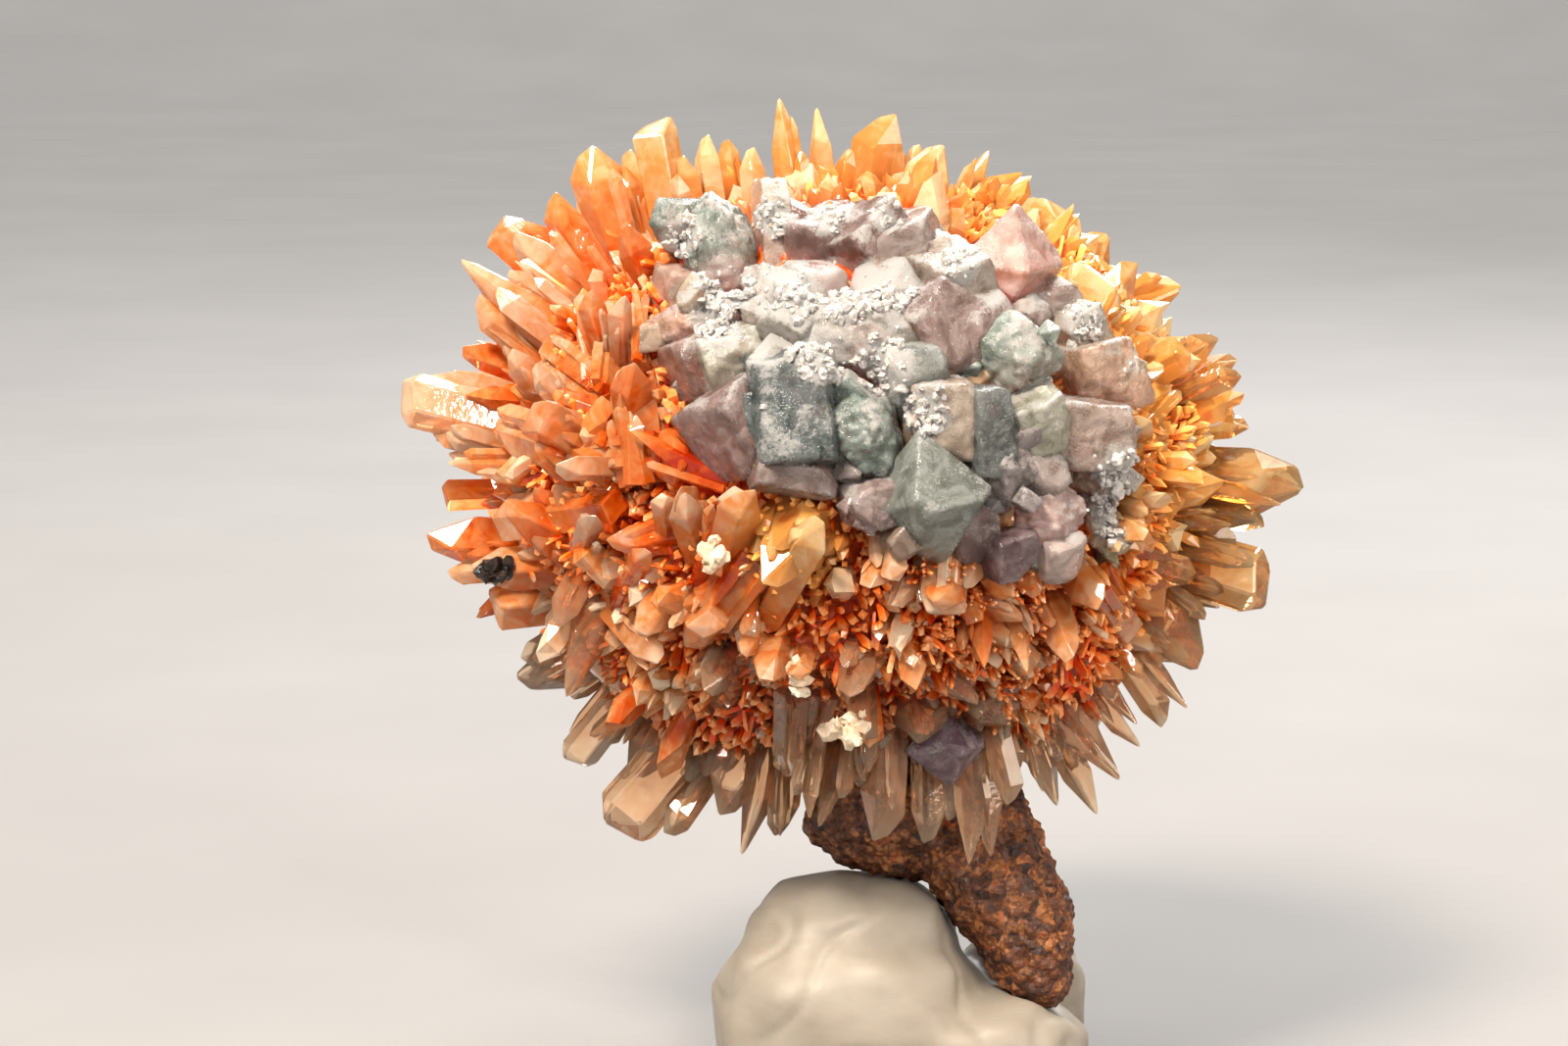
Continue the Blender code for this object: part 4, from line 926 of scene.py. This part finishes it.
# The tufts of needles: how many tufts, the lower left and upper right corners of where they stand, how many
# needles each has, and the needles' lengths and widths.
TUFTS = 46
TUFTS_FROM = (4.5, -19.0)
TUFTS_TO = (17.5, -6.5)
NEEDLES = 16
NEEDLE_LENGTH = (1.6, 3.8)
NEEDLE_WIDTH = (0.16, 0.34)


def creedite_fine_druse():
    """The carpet of fine crystals on the core, and the tufts of needles at the lower right of the front."""
    rng = np.random.default_rng(FINE_SEED)
    ways = even_ways(FINE_CRYSTALS, FINE_WAYS_SEED)
    feet = skin_points(ways)
    keep = clear_of_neighbours(feet, 0.0)
    feet = feet[keep]
    axes = outward_ways(ways)[keep] + rng.normal(0, 0.6, feet.shape)
    reaches = rng.uniform(*FINE_HEIGHT, len(feet))
    widths = rng.uniform(*FINE_WIDTH, len(feet))
    tones = rng.random(len(feet)) * 0.4
    carpet = Gathering()
    prism_swarm(carpet, FOUR_SIDED, rng, feet, axes, reaches, widths, tones)
    for across, up in rng.uniform(TUFTS_FROM, TUFTS_TO, (TUFTS, 2)):
        centre = np.array(seen(across, up, skin_depth(across, up)))
        out = np.array(TOWARD) + (centre - np.array(CENTRE)) / 30 + rng.normal(0, 0.3, 3)
        axes = out + rng.normal(0, 0.33, (NEEDLES, 3))
        feet = centre + rng.normal(0, 0.35, (NEEDLES, 3))
        if math.dist((across, up), PURPLE_FLUORITE.at) < PURPLE_CLEAR:
            continue
        reaches = rng.uniform(*NEEDLE_LENGTH, NEEDLES)
        widths = rng.uniform(*NEEDLE_WIDTH, NEEDLES)
        tones = rng.uniform(0.0, 0.5, NEEDLES)
        prism_swarm(carpet, FOUR_SIDED, rng, feet, axes, reaches, widths, tones)
    material = creedite_material("creedite_fine", transmission=0.0, roughness=0.16)
    carpet.build("creedite_fine_druse", material, "creedite_cluster")


def dark_inclusion():
    """The dark, smoky end of one crystal at the left rim."""
    rng = np.random.default_rng(SMOKE_SEED)
    smoke = Gathering()
    for across, up, size in SMOKY_LUMPS:
        add_lump(smoke, np.array(seen(across, up, SMOKY_TOWARD)), size, 2, rng)
    smoke.build("dark_inclusion", smoke_material(), "creedite_cluster")


def cream_lumps():
    """Cream lumps that sit on two crystals of the lower front."""
    rng = np.random.default_rng(CREAM_SEED)
    lumps = Gathering()
    for across, up, depth, spread, count in CREAM_LUMPS:
        middle = np.array(seen(across, up, depth))
        for _ in range(count):
            add_lump(lumps, middle + rng.normal(0, spread, 3), rng.uniform(*CREAM_LUMP), 2, rng)
    lumps.build("cream_lumps", crust_material("crust_cream", CREAM_STOPS), "creedite_cluster")


def creedite_core():
    """The stained, uneven middle of the ball, which shows between the crystals."""
    ways, faces = round_ball(7)
    points = skin_points(ways)
    rough = noise_at(points, 0.9) + 0.5 * noise_at(points, 0.35)
    points = points + ways @ VIEW_AXES * (rough * 0.45 - 0.35)[:, None]
    core = Gathering()
    golden, dark = regions_of(points)
    core.add(points, faces, np.column_stack([0.1 + 0.2 * rough, 0.5 + 0.5 * rough, golden, dark]))
    core.build("creedite_core", core_material(), "creedite_cluster")


# The fluorite's detail

CUBE_NORMALS = [
    Vector(way) for way in ((1, 0, 0), (-1, 0, 0), (0, 1, 0), (0, -1, 0), (0, 0, 1), (0, 0, -1))
]
CORNER_WAYS = [Vector((x, y, z)) for x in (-1, 1) for y in (-1, 1) for z in (-1, 1)]


def round_ball(detail):
    """The directions and faces of an even ball."""
    ball = bmesh.new()
    bmesh.ops.create_icosphere(ball, subdivisions=detail, radius=1)
    points, faces = points_and_faces(ball)
    return np.array([Vector(point).normalized() for point in points]), faces


def unit_planes(form):
    """The faces of a unit crystal: their normals, and how far each is from the middle."""
    if form == OCTAHEDRON:
        return CORNER_WAYS, [1.0] * 8
    if form == LUMP:
        ways, faces = round_ball(1)
        middles = [Vector(ways[face].mean(axis=0)) for face in faces]
        return [middle.normalized() for middle in middles], [middle.length for middle in middles]
    cut = [way for way in CORNER_WAYS if form == CUT_CUBE and way.x * way.y * way.z > 0]
    return CUBE_NORMALS + cut, [1.0] * 6 + [2 + CORNER_KEPT] * len(cut)


def middle_of(crystal):
    """The middle of a fluorite crystal."""
    return np.array(seen(*crystal.at, skin_depth(*crystal.at) + crystal.proud))


def turn_of(crystal):
    """The crystal's rotation about the three view axes, as a matrix."""
    turn = Matrix.Rotation(math.radians(crystal.turn[0]), 3, "X")
    turn = Matrix.Rotation(math.radians(crystal.turn[1]), 3, "Y") @ turn
    return np.array(Matrix.Rotation(math.radians(crystal.turn[2]), 3, "Z") @ turn)


def fluorite_skin(crystal, number, ways, edge):
    """Points on one crystal and how worn each is: 1 on an edge and less on a face."""
    rng = np.random.default_rng(FLUORITE_SEED + number)
    normals, offsets = unit_planes(crystal.form)
    push = np.clip(ways @ np.array(normals).T, 0, None) / np.array(offsets)
    shape = ways / push.max(axis=1)[:, None]
    cuts = unit_rows(rng.normal(size=(CUTS[crystal.form], 3)))
    reach = (shape @ cuts.T).max(axis=0) * rng.uniform(*CUT_AT, len(cuts))
    push = np.hstack([push, np.clip(ways @ cuts.T, 0, None) / reach])
    ordered = np.sort(push, axis=1)
    wear = ordered[:, -2] / ordered[:, -1]
    local = ways * ((push**edge).sum(axis=1) ** (-1 / edge))[:, None] * np.array(crystal.size) / 2
    placed = local @ turn_of(crystal).T
    points = placed @ VIEW_AXES + middle_of(crystal)
    out = (points - middle_of(crystal)) / np.linalg.norm(placed, axis=1)[:, None]
    etched = np.array([etching(Vector(point), KNOBS[crystal.form]) for point in points])
    depth = min(min(crystal.size) / 5, 1) * ETCHED[crystal.form]
    return points + out * (etched * depth)[:, None], wear


def etching(point, knobs):
    """How far the etched skin of the fluorite stands in or out at this point."""
    near, next_near = noise.voronoi(point / 1.1)[0][:2]
    knob = (min(next_near - near, 0.45) - 0.2) * 0.8 * knobs
    return noise.noise(point / 2.2) * 0.24 + knob + noise.noise(point / 0.3) * 0.07


def facing_of(points, faces):
    """Each point's outward direction."""
    corners = np.array(faces)
    first, second, third = points[corners[:, 0]], points[corners[:, 1]], points[corners[:, 2]]
    across = np.cross(second - first, third - first)
    normals = np.zeros_like(points)
    for corner in range(3):
        np.add.at(normals, corners[:, corner], across)
    return unit_rows(normals)


def satellites():
    """Small crystals, grown against the sides of the large ones that aren't octahedrons."""
    rng = np.random.default_rng(SATELLITE_SEED)
    for crystal in FLUORITES:
        for _ in range(0 if crystal.form == OCTAHEDRON else SATELLITES):
            angle = rng.uniform(0, math.tau)
            size = tuple(float(part) for part in np.array(crystal.size) * rng.uniform(*SATELLITE_SIZE, 3))
            across = crystal.at[0] + math.cos(angle) * crystal.size[0] * rng.uniform(*SATELLITE_AWAY)
            up = crystal.at[1] + math.sin(angle) * crystal.size[1] * rng.uniform(*SATELLITE_AWAY)
            paler = rng.normal(6, 12)
            tint = tuple(min(max(part + paler, 40), 235) for part in crystal.tint)
            form = CUT_CUBE if rng.random() < SATELLITE_CUBES else OCTAHEDRON
            turn = tuple(rng.uniform(0, 90, 3))
            depth = skin_depth(*crystal.at) - skin_depth(across, up)
            proud = crystal.proud + depth + crystal.size[2] * rng.uniform(-0.1, 0.25)
            yield Fluorite((across, up), size, proud, form, turn, tint, crystal.dust)


def frost_of(crystal, points, faces, wear):
    """How white each point of a fluorite is with dust and wear."""
    above = smooth_step(0.0, 0.8, facing_of(points, faces)[:, 2])
    patches = noise_at(points, 1.8)
    dust = crystal.dust * above * smooth_step(-0.35, 0.3, patches) * 1.3
    view = in_view(points)
    for across, up, radius, _ in CRUST_PATCHES:
        away = np.hypot(view[:, 0] - across, view[:, 1] - up) / radius
        dust = np.maximum(dust, smooth_step(1.3, 0.7, away + 0.5 * patches))
    return np.clip(dust + 0.42 * wear**8 * smooth_step(-0.3, 0.4, patches), 0, 1)


def fluorites(name, material, node, crystals, detail, first, edge=FLUORITE_EDGE):
    """Makes one piece of these crystals, and gives back each one's points and how white they are.

    Each crystal starts as an even ball of this detail, and their numbers count on from the first.
    """
    ways, faces = round_ball(detail)
    cluster = Gathering()
    skins = []
    for number, crystal in enumerate(crystals, first):
        points, wear = fluorite_skin(crystal, number, ways, edge)
        frost = frost_of(crystal, points, faces, wear)
        tint = np.tile(shade(*crystal.tint), (len(points), 1))
        cluster.add(points, faces, np.column_stack([tint, frost]))
        skins.append((points, frost))
    cluster.build(name, fluorite_material(material), node, smooth=True)
    return skins


def fluorite_crystals():
    """The fluorites of the upper front, the white crust on them, and the purple one below."""
    name, node = "fluorite_crystals", "fluorite_cluster"
    skins = fluorites(name, name, node, FLUORITES, detail=5, first=0)
    name = "fluorite_small"
    skins += fluorites(name, name, node, [*GAP_FLUORITES, *satellites()], detail=4, first=100)
    white_crust(skins)
    name, node = "purple_crystal", "purple_fluorite"
    fluorites(name, "fluorite_purple", node, [PURPLE_FLUORITE], detail=6, first=99, edge=PURPLE_EDGE)


# The sizes of the lumps and of the fine grains of white crust, and of the cream lumps.
CRUST_LUMP = (0.1, 0.4)
CRUST_GRAIN = (0.08, 0.26)
CREAM_LUMP = (0.3, 0.7)


def white_crust(skins):
    """White crust on the fluorites: lumps where it lies thickest, and fine grains on all that is dusted."""
    rng = np.random.default_rng(CRUST_SEED)
    points, frost = (np.concatenate(parts) for parts in zip(*skins))
    view = in_view(points)
    crust = Gathering()
    for across, up, radius, count in CRUST_PATCHES:
        near = np.flatnonzero(np.hypot(view[:, 0] - across, view[:, 1] - up) < radius)
        front = near[view[near, 2] > view[near, 2].max() - 2.6]
        for place in points[rng.choice(front, count * 2)]:
            add_lump(crust, place + rng.normal(0, 0.2, 3), rng.uniform(*CRUST_LUMP), 2, rng)
    dusted = rng.random(len(points)) < np.clip(frost - 0.35, 0, 1) * 0.05
    for place in points[dusted]:
        add_lump(crust, place, rng.uniform(*CRUST_GRAIN), 1, rng)
    crust.build("white_crust", crust_material("crust_white", WHITE_STOPS), "fluorite_cluster")


def add_lump(gathering, place, size, detail, rng):
    """An angular lump of crust."""
    ways, faces = round_ball(detail)
    skin = rng.normal(1, 0.2, len(ways))[:, None]
    points = place + ways * skin * rng.uniform(0.6, 1.4, 3) * size
    gathering.add(points, faces, np.tile([rng.random()] * 4, (len(ways), 1)))


# The matrix and the putty, from their solids


# The size of the small faces of the matrix and of the putty, and how many rounds of smoothing they get.
MATRIX_FINENESS = (0.26, 8)
PUTTY_FINENESS = (0.45, 16)


def remeshed(node, voxel, rounds):
    """The points, their outward directions and the faces of a node's solid, made even and smoothed."""
    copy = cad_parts[node].copy()
    copy.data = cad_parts[node].data.copy()
    bpy.context.scene.collection.objects.link(copy)
    remesh = copy.modifiers.new("even", "REMESH")
    remesh.mode = "VOXEL"
    remesh.voxel_size = voxel * MM
    smooth = copy.modifiers.new("smooth", "SMOOTH")
    smooth.iterations = rounds
    smooth.factor = 0.5
    mesh = bpy.data.meshes.new_from_object(copy.evaluated_get(bpy.context.evaluated_depsgraph_get()))
    bpy.data.objects.remove(copy, do_unlink=True)
    points = np.array([vertex.co for vertex in mesh.vertices]) / MM
    normals = np.array([normal.vector for normal in mesh.vertex_normals])
    faces = [tuple(polygon.vertices) for polygon in mesh.polygons]
    bpy.data.meshes.remove(mesh)
    return points, normals, faces


def matrix_limb():
    """The brown granular matrix."""
    points, normals, faces = remeshed("matrix_stub", *MATRIX_FINENESS)
    lump = np.array([granules_at(Vector(point)) for point in points])
    limb = Gathering()
    limb.add(points + normals * lump[:, None], faces, np.column_stack([0.5 + lump] * 4))
    limb.build("matrix_limb", matrix_material(), "matrix_stub")


def granules_at(point):
    """How far the granular skin of the matrix stands in or out at this point."""
    grains = 0.28 - 0.6 * min(noise.voronoi(point / 0.85)[0][0], 0.8)
    return grains + 0.35 * noise.noise(point / 2.2)


def putty_lump():
    """The kneaded putty, with broad swells and shallow folds, and its underside left flat."""
    points, normals, faces = remeshed("mounting_putty", *PUTTY_FINENESS)
    lump = np.array([kneading_at(Vector(point)) for point in points])
    above = smooth_step(0.4, 2.5, points[:, 2])
    points = points + normals * (lump * above)[:, None]
    points[:, 2] = np.maximum(points[:, 2], 0)
    kneaded = Gathering()
    kneaded.add(points, faces, np.column_stack([0.5 + 0.5 * lump] * 4))
    kneaded.build("putty_lump", putty_material(), "mounting_putty", smooth=True)


def kneading_at(point):
    """How far the kneaded skin stands in or out at this point."""
    broad = 0.3 * noise.noise(point / 5.0)
    fold = -0.3 * smooth_step(0.75, 1.0, 1 - abs(noise.noise(point / 7.0 + Vector((5, 1, 2)))) * 2)
    return broad + float(fold) * 0.6


# Materials, in which a colour is given as it looks on a screen


class Nodes:
    """Adds nodes to a material and links them."""

    def __init__(self, name):
        self.material = bpy.data.materials.new(name)
        self.material.use_nodes = True
        self.tree = self.material.node_tree
        self.shader = self.tree.nodes["Principled BSDF"]

    def add(self, kind, inputs, **settings):
        """A new node with these inputs and settings."""
        node = self.tree.nodes.new(kind)
        for key, value in settings.items():
            setattr(node, key, value)
        for key, value in inputs.items():
            self.feed(node.inputs[key], value)
        return node

    def feed(self, socket, value):
        """Gives the socket a number, a colour or another node's output."""
        if isinstance(value, (int, float)):
            socket.default_value = value
        elif isinstance(value, tuple):
            socket.default_value = (*shade(*value), 1)
        else:
            self.tree.links.new(value, socket)

    def set(self, **values):
        """Feeds the shader's inputs; a name's underscores stand for spaces."""
        for key, value in values.items():
            self.feed(self.shader.inputs[key.replace("_", " ")], value)

    def place(self):
        """The object's own coordinates, in metres."""
        return self.add("ShaderNodeTexCoord", {}).outputs["Object"]

    def noise(self, size, detail=3.0, roughness=0.55, distortion=0.0, stretch=None):
        """Noise with features of this size in millimetres, from 0 to 1."""
        place = self.place()
        if stretch:
            mapping = self.add("ShaderNodeMapping", {"Vector": place})
            mapping.inputs["Scale"].default_value = stretch
            place = mapping.outputs["Vector"]
        inputs = {"Vector": place, "Scale": 1 / (size * MM), "Detail": detail, "Roughness": roughness}
        return self.add("ShaderNodeTexNoise", {**inputs, "Distortion": distortion}).outputs["Fac"]

    def cells(self, size):
        """Uneven cells of this size in millimetres: a random value for each, and how far its middle is."""
        texture = self.add("ShaderNodeTexVoronoi", {"Vector": self.place(), "Scale": 1 / (size * MM)})
        split = self.add("ShaderNodeSeparateColor", {"Color": texture.outputs["Color"]})
        return split.outputs["Red"], texture.outputs["Distance"]

    def span(self, value, low, high, to_low=0.0, to_high=1.0):
        """The value's range from low to high, stretched to another range."""
        inputs = {"Value": value, "From Min": low, "From Max": high, "To Min": to_low, "To Max": to_high}
        return self.add("ShaderNodeMapRange", inputs).outputs["Result"]

    def math(self, operation, first, second):
        return self.add("ShaderNodeMath", {0: first, 1: second}, operation=operation).outputs[0]

    def from_middle(self, value, middle, scale):
        """How far the value is from this middle, times the scale."""
        return self.math("MULTIPLY", self.math("SUBTRACT", value, middle), scale)

    def ramp(self, value, stops):
        """The colours at these places along the value."""
        node = self.add("ShaderNodeValToRGB", {"Fac": value})
        elements = node.color_ramp.elements
        while len(elements) < len(stops):
            elements.new(0.5)
        for element, (place, colour) in zip(elements, stops):
            element.position = place
            element.color = (*shade(*colour), 1)
        return node.outputs["Color"]

    def mix(self, share, first, second, blend="MIX"):
        """The first colour with this share of the second mixed in."""
        inputs = {0: share, 6: first, 7: second}
        return self.add("ShaderNodeMix", inputs, data_type="RGBA", blend_type=blend).outputs[2]

    def carried(self):
        """The colour and the fourth value that the mesh carries."""
        attribute = self.add("ShaderNodeAttribute", {}, attribute_name="growth")
        return attribute.outputs["Color"], attribute.outputs["Alpha"]

    def growth(self):
        """The four values that the mesh carries."""
        colour, fourth = self.carried()
        split = self.add("ShaderNodeSeparateColor", {"Color": colour})
        return split.outputs["Red"], split.outputs["Green"], split.outputs["Blue"], fourth

    def bump(self, height, strength, distance):
        """Small relief, this many millimetres high."""
        inputs = {"Height": height, "Strength": strength, "Distance": distance * MM}
        self.set(Normal=self.add("ShaderNodeBump", inputs).outputs["Normal"])

    def absorb(self, colour, density):
        """Fills the piece with a clear tint. density is per metre."""
        volume = self.add("ShaderNodeVolumeAbsorption", {"Color": colour, "Density": density})
        self.feed(self.tree.nodes["Material Output"].inputs["Volume"], volume.outputs["Volume"])


DEEP_STAIN = (200, 46, 2)
ORANGE = (238, 106, 20)
APRICOT = (240, 156, 88)
PALE = (251, 222, 188)
# GOLD and PALE_GOLD are painted glow of light passing through the rim crystals to the right and on top, and
# the tint of one golden crystal of the front.
GOLD = (236, 172, 86)
PALE_GOLD = (250, 222, 162)
# BROWN, TAN and BEIGE tint the lower crystals, partly with their own browner colour and partly as painted
# shade of the underside.
BROWN = (176, 78, 28)
TAN = (222, 166, 110)
BEIGE = (244, 226, 196)


def creedite_material(name, transmission, roughness, paling=0.0):
    """Clear creedite: stained orange at the foot, apricot or golden above, pale at the tip, brown below. The
    golden tint to the right and on top is painted glow of light passing through the rim, and the brown below
    is partly the crystals' own tint and partly painted shade.
    """
    nodes = Nodes(name)
    along, tone, golden, dark = nodes.growth()
    veil = nodes.noise(1.3, detail=2.0, distortion=0.6)
    place = nodes.math("MULTIPLY", along, 0.62)
    place = nodes.math("ADD", place, nodes.from_middle(veil, 0.5, 0.9))
    place = nodes.math("ADD", place, nodes.from_middle(tone, 0.25, 0.6))
    peachy = nodes.ramp(place, [(0.0, DEEP_STAIN), (0.26, ORANGE), (0.56, APRICOT), (1.0, PALE)])
    gilded_glow = nodes.ramp(place, [(0.0, ORANGE), (0.35, GOLD), (0.6, GOLD), (0.95, PALE_GOLD)])
    dusky_and_shaded = nodes.ramp(place, [(0.05, DEEP_STAIN), (0.36, BROWN), (0.7, TAN), (1.0, BEIGE)])
    # Golden to the right and on top is painted glow of light passing through the rim; dark below is partly
    # the crystals' own browner tint and partly painted shade.
    colour = nodes.mix(nodes.math("MULTIPLY", golden, 0.85), peachy, gilded_glow)
    colour = nodes.mix(nodes.math("MULTIPLY", dark, 0.8), colour, dusky_and_shaded)
    colour = nodes.mix(nodes.math("MULTIPLY", dark, paling), colour, PALE)
    nodes.set(Base_Color=colour, Roughness=nodes.span(veil, 0.3, 0.7, roughness * 0.6, roughness * 2.0))
    nodes.bump(nodes.noise(0.4, detail=2.0), 0.2, 0.04)
    nodes.set(IOR=1.47, Transmission_Weight=transmission)
    if transmission:
        nodes.absorb((255, 198, 136), 80.0)
    return nodes.material


def core_material():
    """The stained skin between the crystals, which turns dark brown toward the bottom as painted shade."""
    nodes = Nodes("creedite_stain")
    dark = nodes.growth()[3]
    cloud = nodes.noise(1.2, detail=5.0)
    warm = nodes.ramp(cloud, [(0.25, DEEP_STAIN), (0.5, (186, 66, 14)), (0.75, ORANGE)])
    # Toward the bottom the skin is mixed with dark brown: painted shade of the underside.
    nodes.set(Base_Color=nodes.mix(nodes.math("MULTIPLY", dark, 0.7), warm, (70, 28, 12)), Roughness=0.4)
    nodes.bump(nodes.noise(0.4, detail=4.0), 0.8, 0.15)
    return nodes.material


def fluorite_material(name):
    """Etched fluorite: its own tint, clear inside, and frosted white by dust and on its edges."""
    nodes = Nodes(name)
    tint, frost = nodes.carried()
    cloud = nodes.noise(1.8, detail=3.0, distortion=1.2)
    darker = nodes.mix(1.0, tint, (196, 194, 192), blend="MULTIPLY")
    varied = nodes.mix(nodes.span(cloud, 0.36, 0.64), darker, nodes.mix(0.2, tint, (236, 238, 238)))
    speckle = nodes.from_middle(nodes.noise(0.32, detail=3.0, roughness=0.7), 0.5, 1.6)
    powder = nodes.span(nodes.math("ADD", frost, speckle), 0.2, 0.85)
    nodes.set(Base_Color=nodes.mix(powder, varied, (212, 210, 206)))
    nodes.set(Roughness=nodes.span(powder, 0.0, 1.0, 0.1, 0.6), IOR=1.434, Transmission_Weight=0.6)
    nodes.bump(nodes.noise(0.2, detail=2.0, roughness=0.7), 0.8, 0.1)
    nodes.absorb((206, 208, 200), 30.0)
    return nodes.material


WHITE_STOPS = [(0.3, (170, 166, 162)), (0.55, (206, 202, 198)), (0.8, (212, 194, 178))]
CREAM_STOPS = [(0.3, (206, 178, 146)), (0.55, (232, 212, 184)), (0.8, (238, 226, 204))]


def crust_material(name, stops):
    """Pale sugar-like crust."""
    nodes = Nodes(name)
    nodes.set(Base_Color=nodes.ramp(nodes.noise(1.8, detail=2.0), stops))
    nodes.set(Roughness=nodes.span(nodes.noise(0.3), 0.3, 0.7, 0.2, 0.5))
    nodes.set(IOR=1.45, Transmission_Weight=0.25)
    nodes.bump(nodes.noise(0.15, detail=2.0), 0.6, 0.05)
    return nodes.material


def smoke_material():
    """The smoky dark inclusion."""
    nodes = Nodes("smoky_dark")
    cloud = nodes.noise(0.8, detail=3.0)
    nodes.set(Base_Color=nodes.ramp(cloud, [(0.3, (14, 12, 12)), (0.7, (52, 40, 34))]), Roughness=0.15)
    nodes.bump(nodes.noise(0.3), 0.3, 0.05)
    return nodes.material


MATRIX_STOPS = [
    (0.1, (40, 20, 8)),
    (0.35, (86, 46, 18)),
    (0.6, (118, 66, 26)),
    (0.8, (168, 114, 62)),
    (0.95, (150, 66, 18)),
]


def matrix_material():
    """Granular brown matrix with orange and beige grains and dark specks."""
    nodes = Nodes("matrix_brown")
    coarse, coarse_distance = nodes.cells(0.8)
    fine, _ = nodes.cells(0.3)
    grains = nodes.math("ADD", nodes.math("MULTIPLY", coarse, 0.55), nodes.math("MULTIPLY", fine, 0.45))
    shadow = nodes.ramp(nodes.noise(2.4, detail=5.0), [(0.32, (96, 62, 44)), (0.6, (234, 218, 200))])
    nodes.set(Base_Color=nodes.mix(0.75, nodes.ramp(grains, MATRIX_STOPS), shadow, blend="MULTIPLY"))
    nodes.set(Roughness=nodes.span(coarse_distance, 0.0, 0.6, 0.3, 0.7))
    nodes.bump(nodes.noise(0.25, detail=4.0), 0.6, 0.12)
    return nodes.material


def putty_material():
    """Warm white putty, a little waxy."""
    nodes = Nodes("putty_white")
    smear = nodes.noise(6.0, detail=4.0, stretch=(1.0, 1.0, 2.2))
    stops = [(0.3, (130, 121, 108)), (0.6, (143, 135, 122)), (0.85, (151, 144, 134))]
    nodes.set(Base_Color=nodes.ramp(smear, stops))
    nodes.set(Roughness=nodes.span(nodes.noise(1.5), 0.3, 0.7, 0.45, 0.6))
    nodes.bump(nodes.noise(0.8, detail=5.0), 0.25, 0.1)
    nodes.set(Subsurface_Weight=0.15, Subsurface_Scale=0.002)
    return nodes.material


# The stage, in metres


def sweep():
    """A pale floor that curves up into the background."""
    turn, back, side = 0.5, 0.9, 3.0
    line = [(-2.5, 0.0), (back, 0.0)]
    for step in range(1, 25):
        angle = math.radians(90 * step / 24)
        line.append((back + turn * math.sin(angle), turn * (1 - math.cos(angle))))
    line.append((back + turn, 3.0))
    points = [(x, y, z) for y, z in line for x in (-side, side)]
    faces = [(2 * row, 2 * row + 1, 2 * row + 3, 2 * row + 2) for row in range(len(line) - 1)]
    mesh = bpy.data.meshes.new("floor")
    mesh.from_pydata(points, [], faces)
    mesh.shade_smooth()
    floor = bpy.data.objects.new("floor", mesh)
    bpy.context.scene.collection.objects.link(floor)
    nodes = Nodes("floor_pale")
    cloud = nodes.noise(40.0, detail=2.0)
    stops = [(0.3, (120, 118, 116)), (0.7, (124, 122, 120))]
    nodes.set(Base_Color=nodes.ramp(cloud, stops), Roughness=0.85)
    mesh.materials.append(nodes.material)


def surround():
    """Even, dim light from all round."""
    world = bpy.data.worlds.new("surround")
    world.use_nodes = True
    background = world.node_tree.nodes["Background"].inputs
    background["Color"].default_value = (*shade(232, 230, 228), 1)
    background["Strength"].default_value = 0.5
    bpy.context.scene.world = world


def soft_light(name, place, size, power, aim=(0, 0, BALL_HEIGHT * MM), colour=(255, 255, 255)):
    """A square area light that points at the ball, or where it is aimed."""
    light = bpy.data.lights.new(name, "AREA")
    light.color = shade(*colour)
    light.size = size
    light.energy = power
    lamp = bpy.data.objects.new(name, light)
    lamp.location = place
    lamp.rotation_euler = (Vector(aim) - Vector(place)).to_track_quat("-Z", "Y").to_euler()
    bpy.context.scene.collection.objects.link(lamp)


def lights():
    """A key light from the upper front left, a weaker fill, one from behind that the clear rims catch, a
    broad one overhead that also lights the background, and two small ones that the facets glint in."""
    warm = (255, 240, 222)
    soft_light("key", (-0.16, -0.24, 0.44), 0.12, 5.0, colour=warm)
    soft_light("fill", (0.36, -0.24, 0.24), 0.2, 1.3, colour=warm)
    soft_light("back", (0.12, 0.34, 0.34), 0.22, 2.6)
    soft_light("overhead", (0.0, 0.9, 1.1), 1.3, 30.0, aim=(0, 1.0, 0))
    soft_light("left spark", (-0.3, -0.34, 0.2), 0.05, 0.6)
    soft_light("right spark", (0.12, -0.42, 0.3), 0.04, 0.6)


def front_camera():
    """The camera, where the front view is described from."""
    data = bpy.data.cameras.new("front")
    data.lens = LENS
    data.sensor_width = SENSOR_WIDTH
    data.clip_start = 0.01
    camera = bpy.data.objects.new("front", data)
    camera.location = (CENTRE + RIGHT * EYE_ACROSS + UP * EYE_UP + TOWARD * VIEW_DISTANCE) * MM
    camera.rotation_euler = (math.pi / 2 - VIEW_TILT, 0, 0)
    bpy.context.scene.collection.objects.link(camera)
    bpy.context.scene.camera = camera


def render_settings():
    """How light is followed through the clear crystals, and how colours are shown."""
    scene = bpy.context.scene
    scene.cycles.use_denoising = True
    scene.cycles.max_bounces = 8
    scene.cycles.diffuse_bounces = 3
    scene.cycles.glossy_bounces = 3
    scene.cycles.transmission_bounces = 7
    scene.cycles.transparent_max_bounces = 8
    scene.cycles.sample_clamp_indirect = 6.0
    scene.view_settings.view_transform = "Standard"
    scene.view_settings.look = "None"


front_camera()
sweep()
surround()
lights()
render_settings()
creedite_core()
creedite_blades()
creedite_sheaves()
creedite_fine_druse()
dark_inclusion()
cream_lumps()
fluorite_crystals()
matrix_limb()
putty_lump()
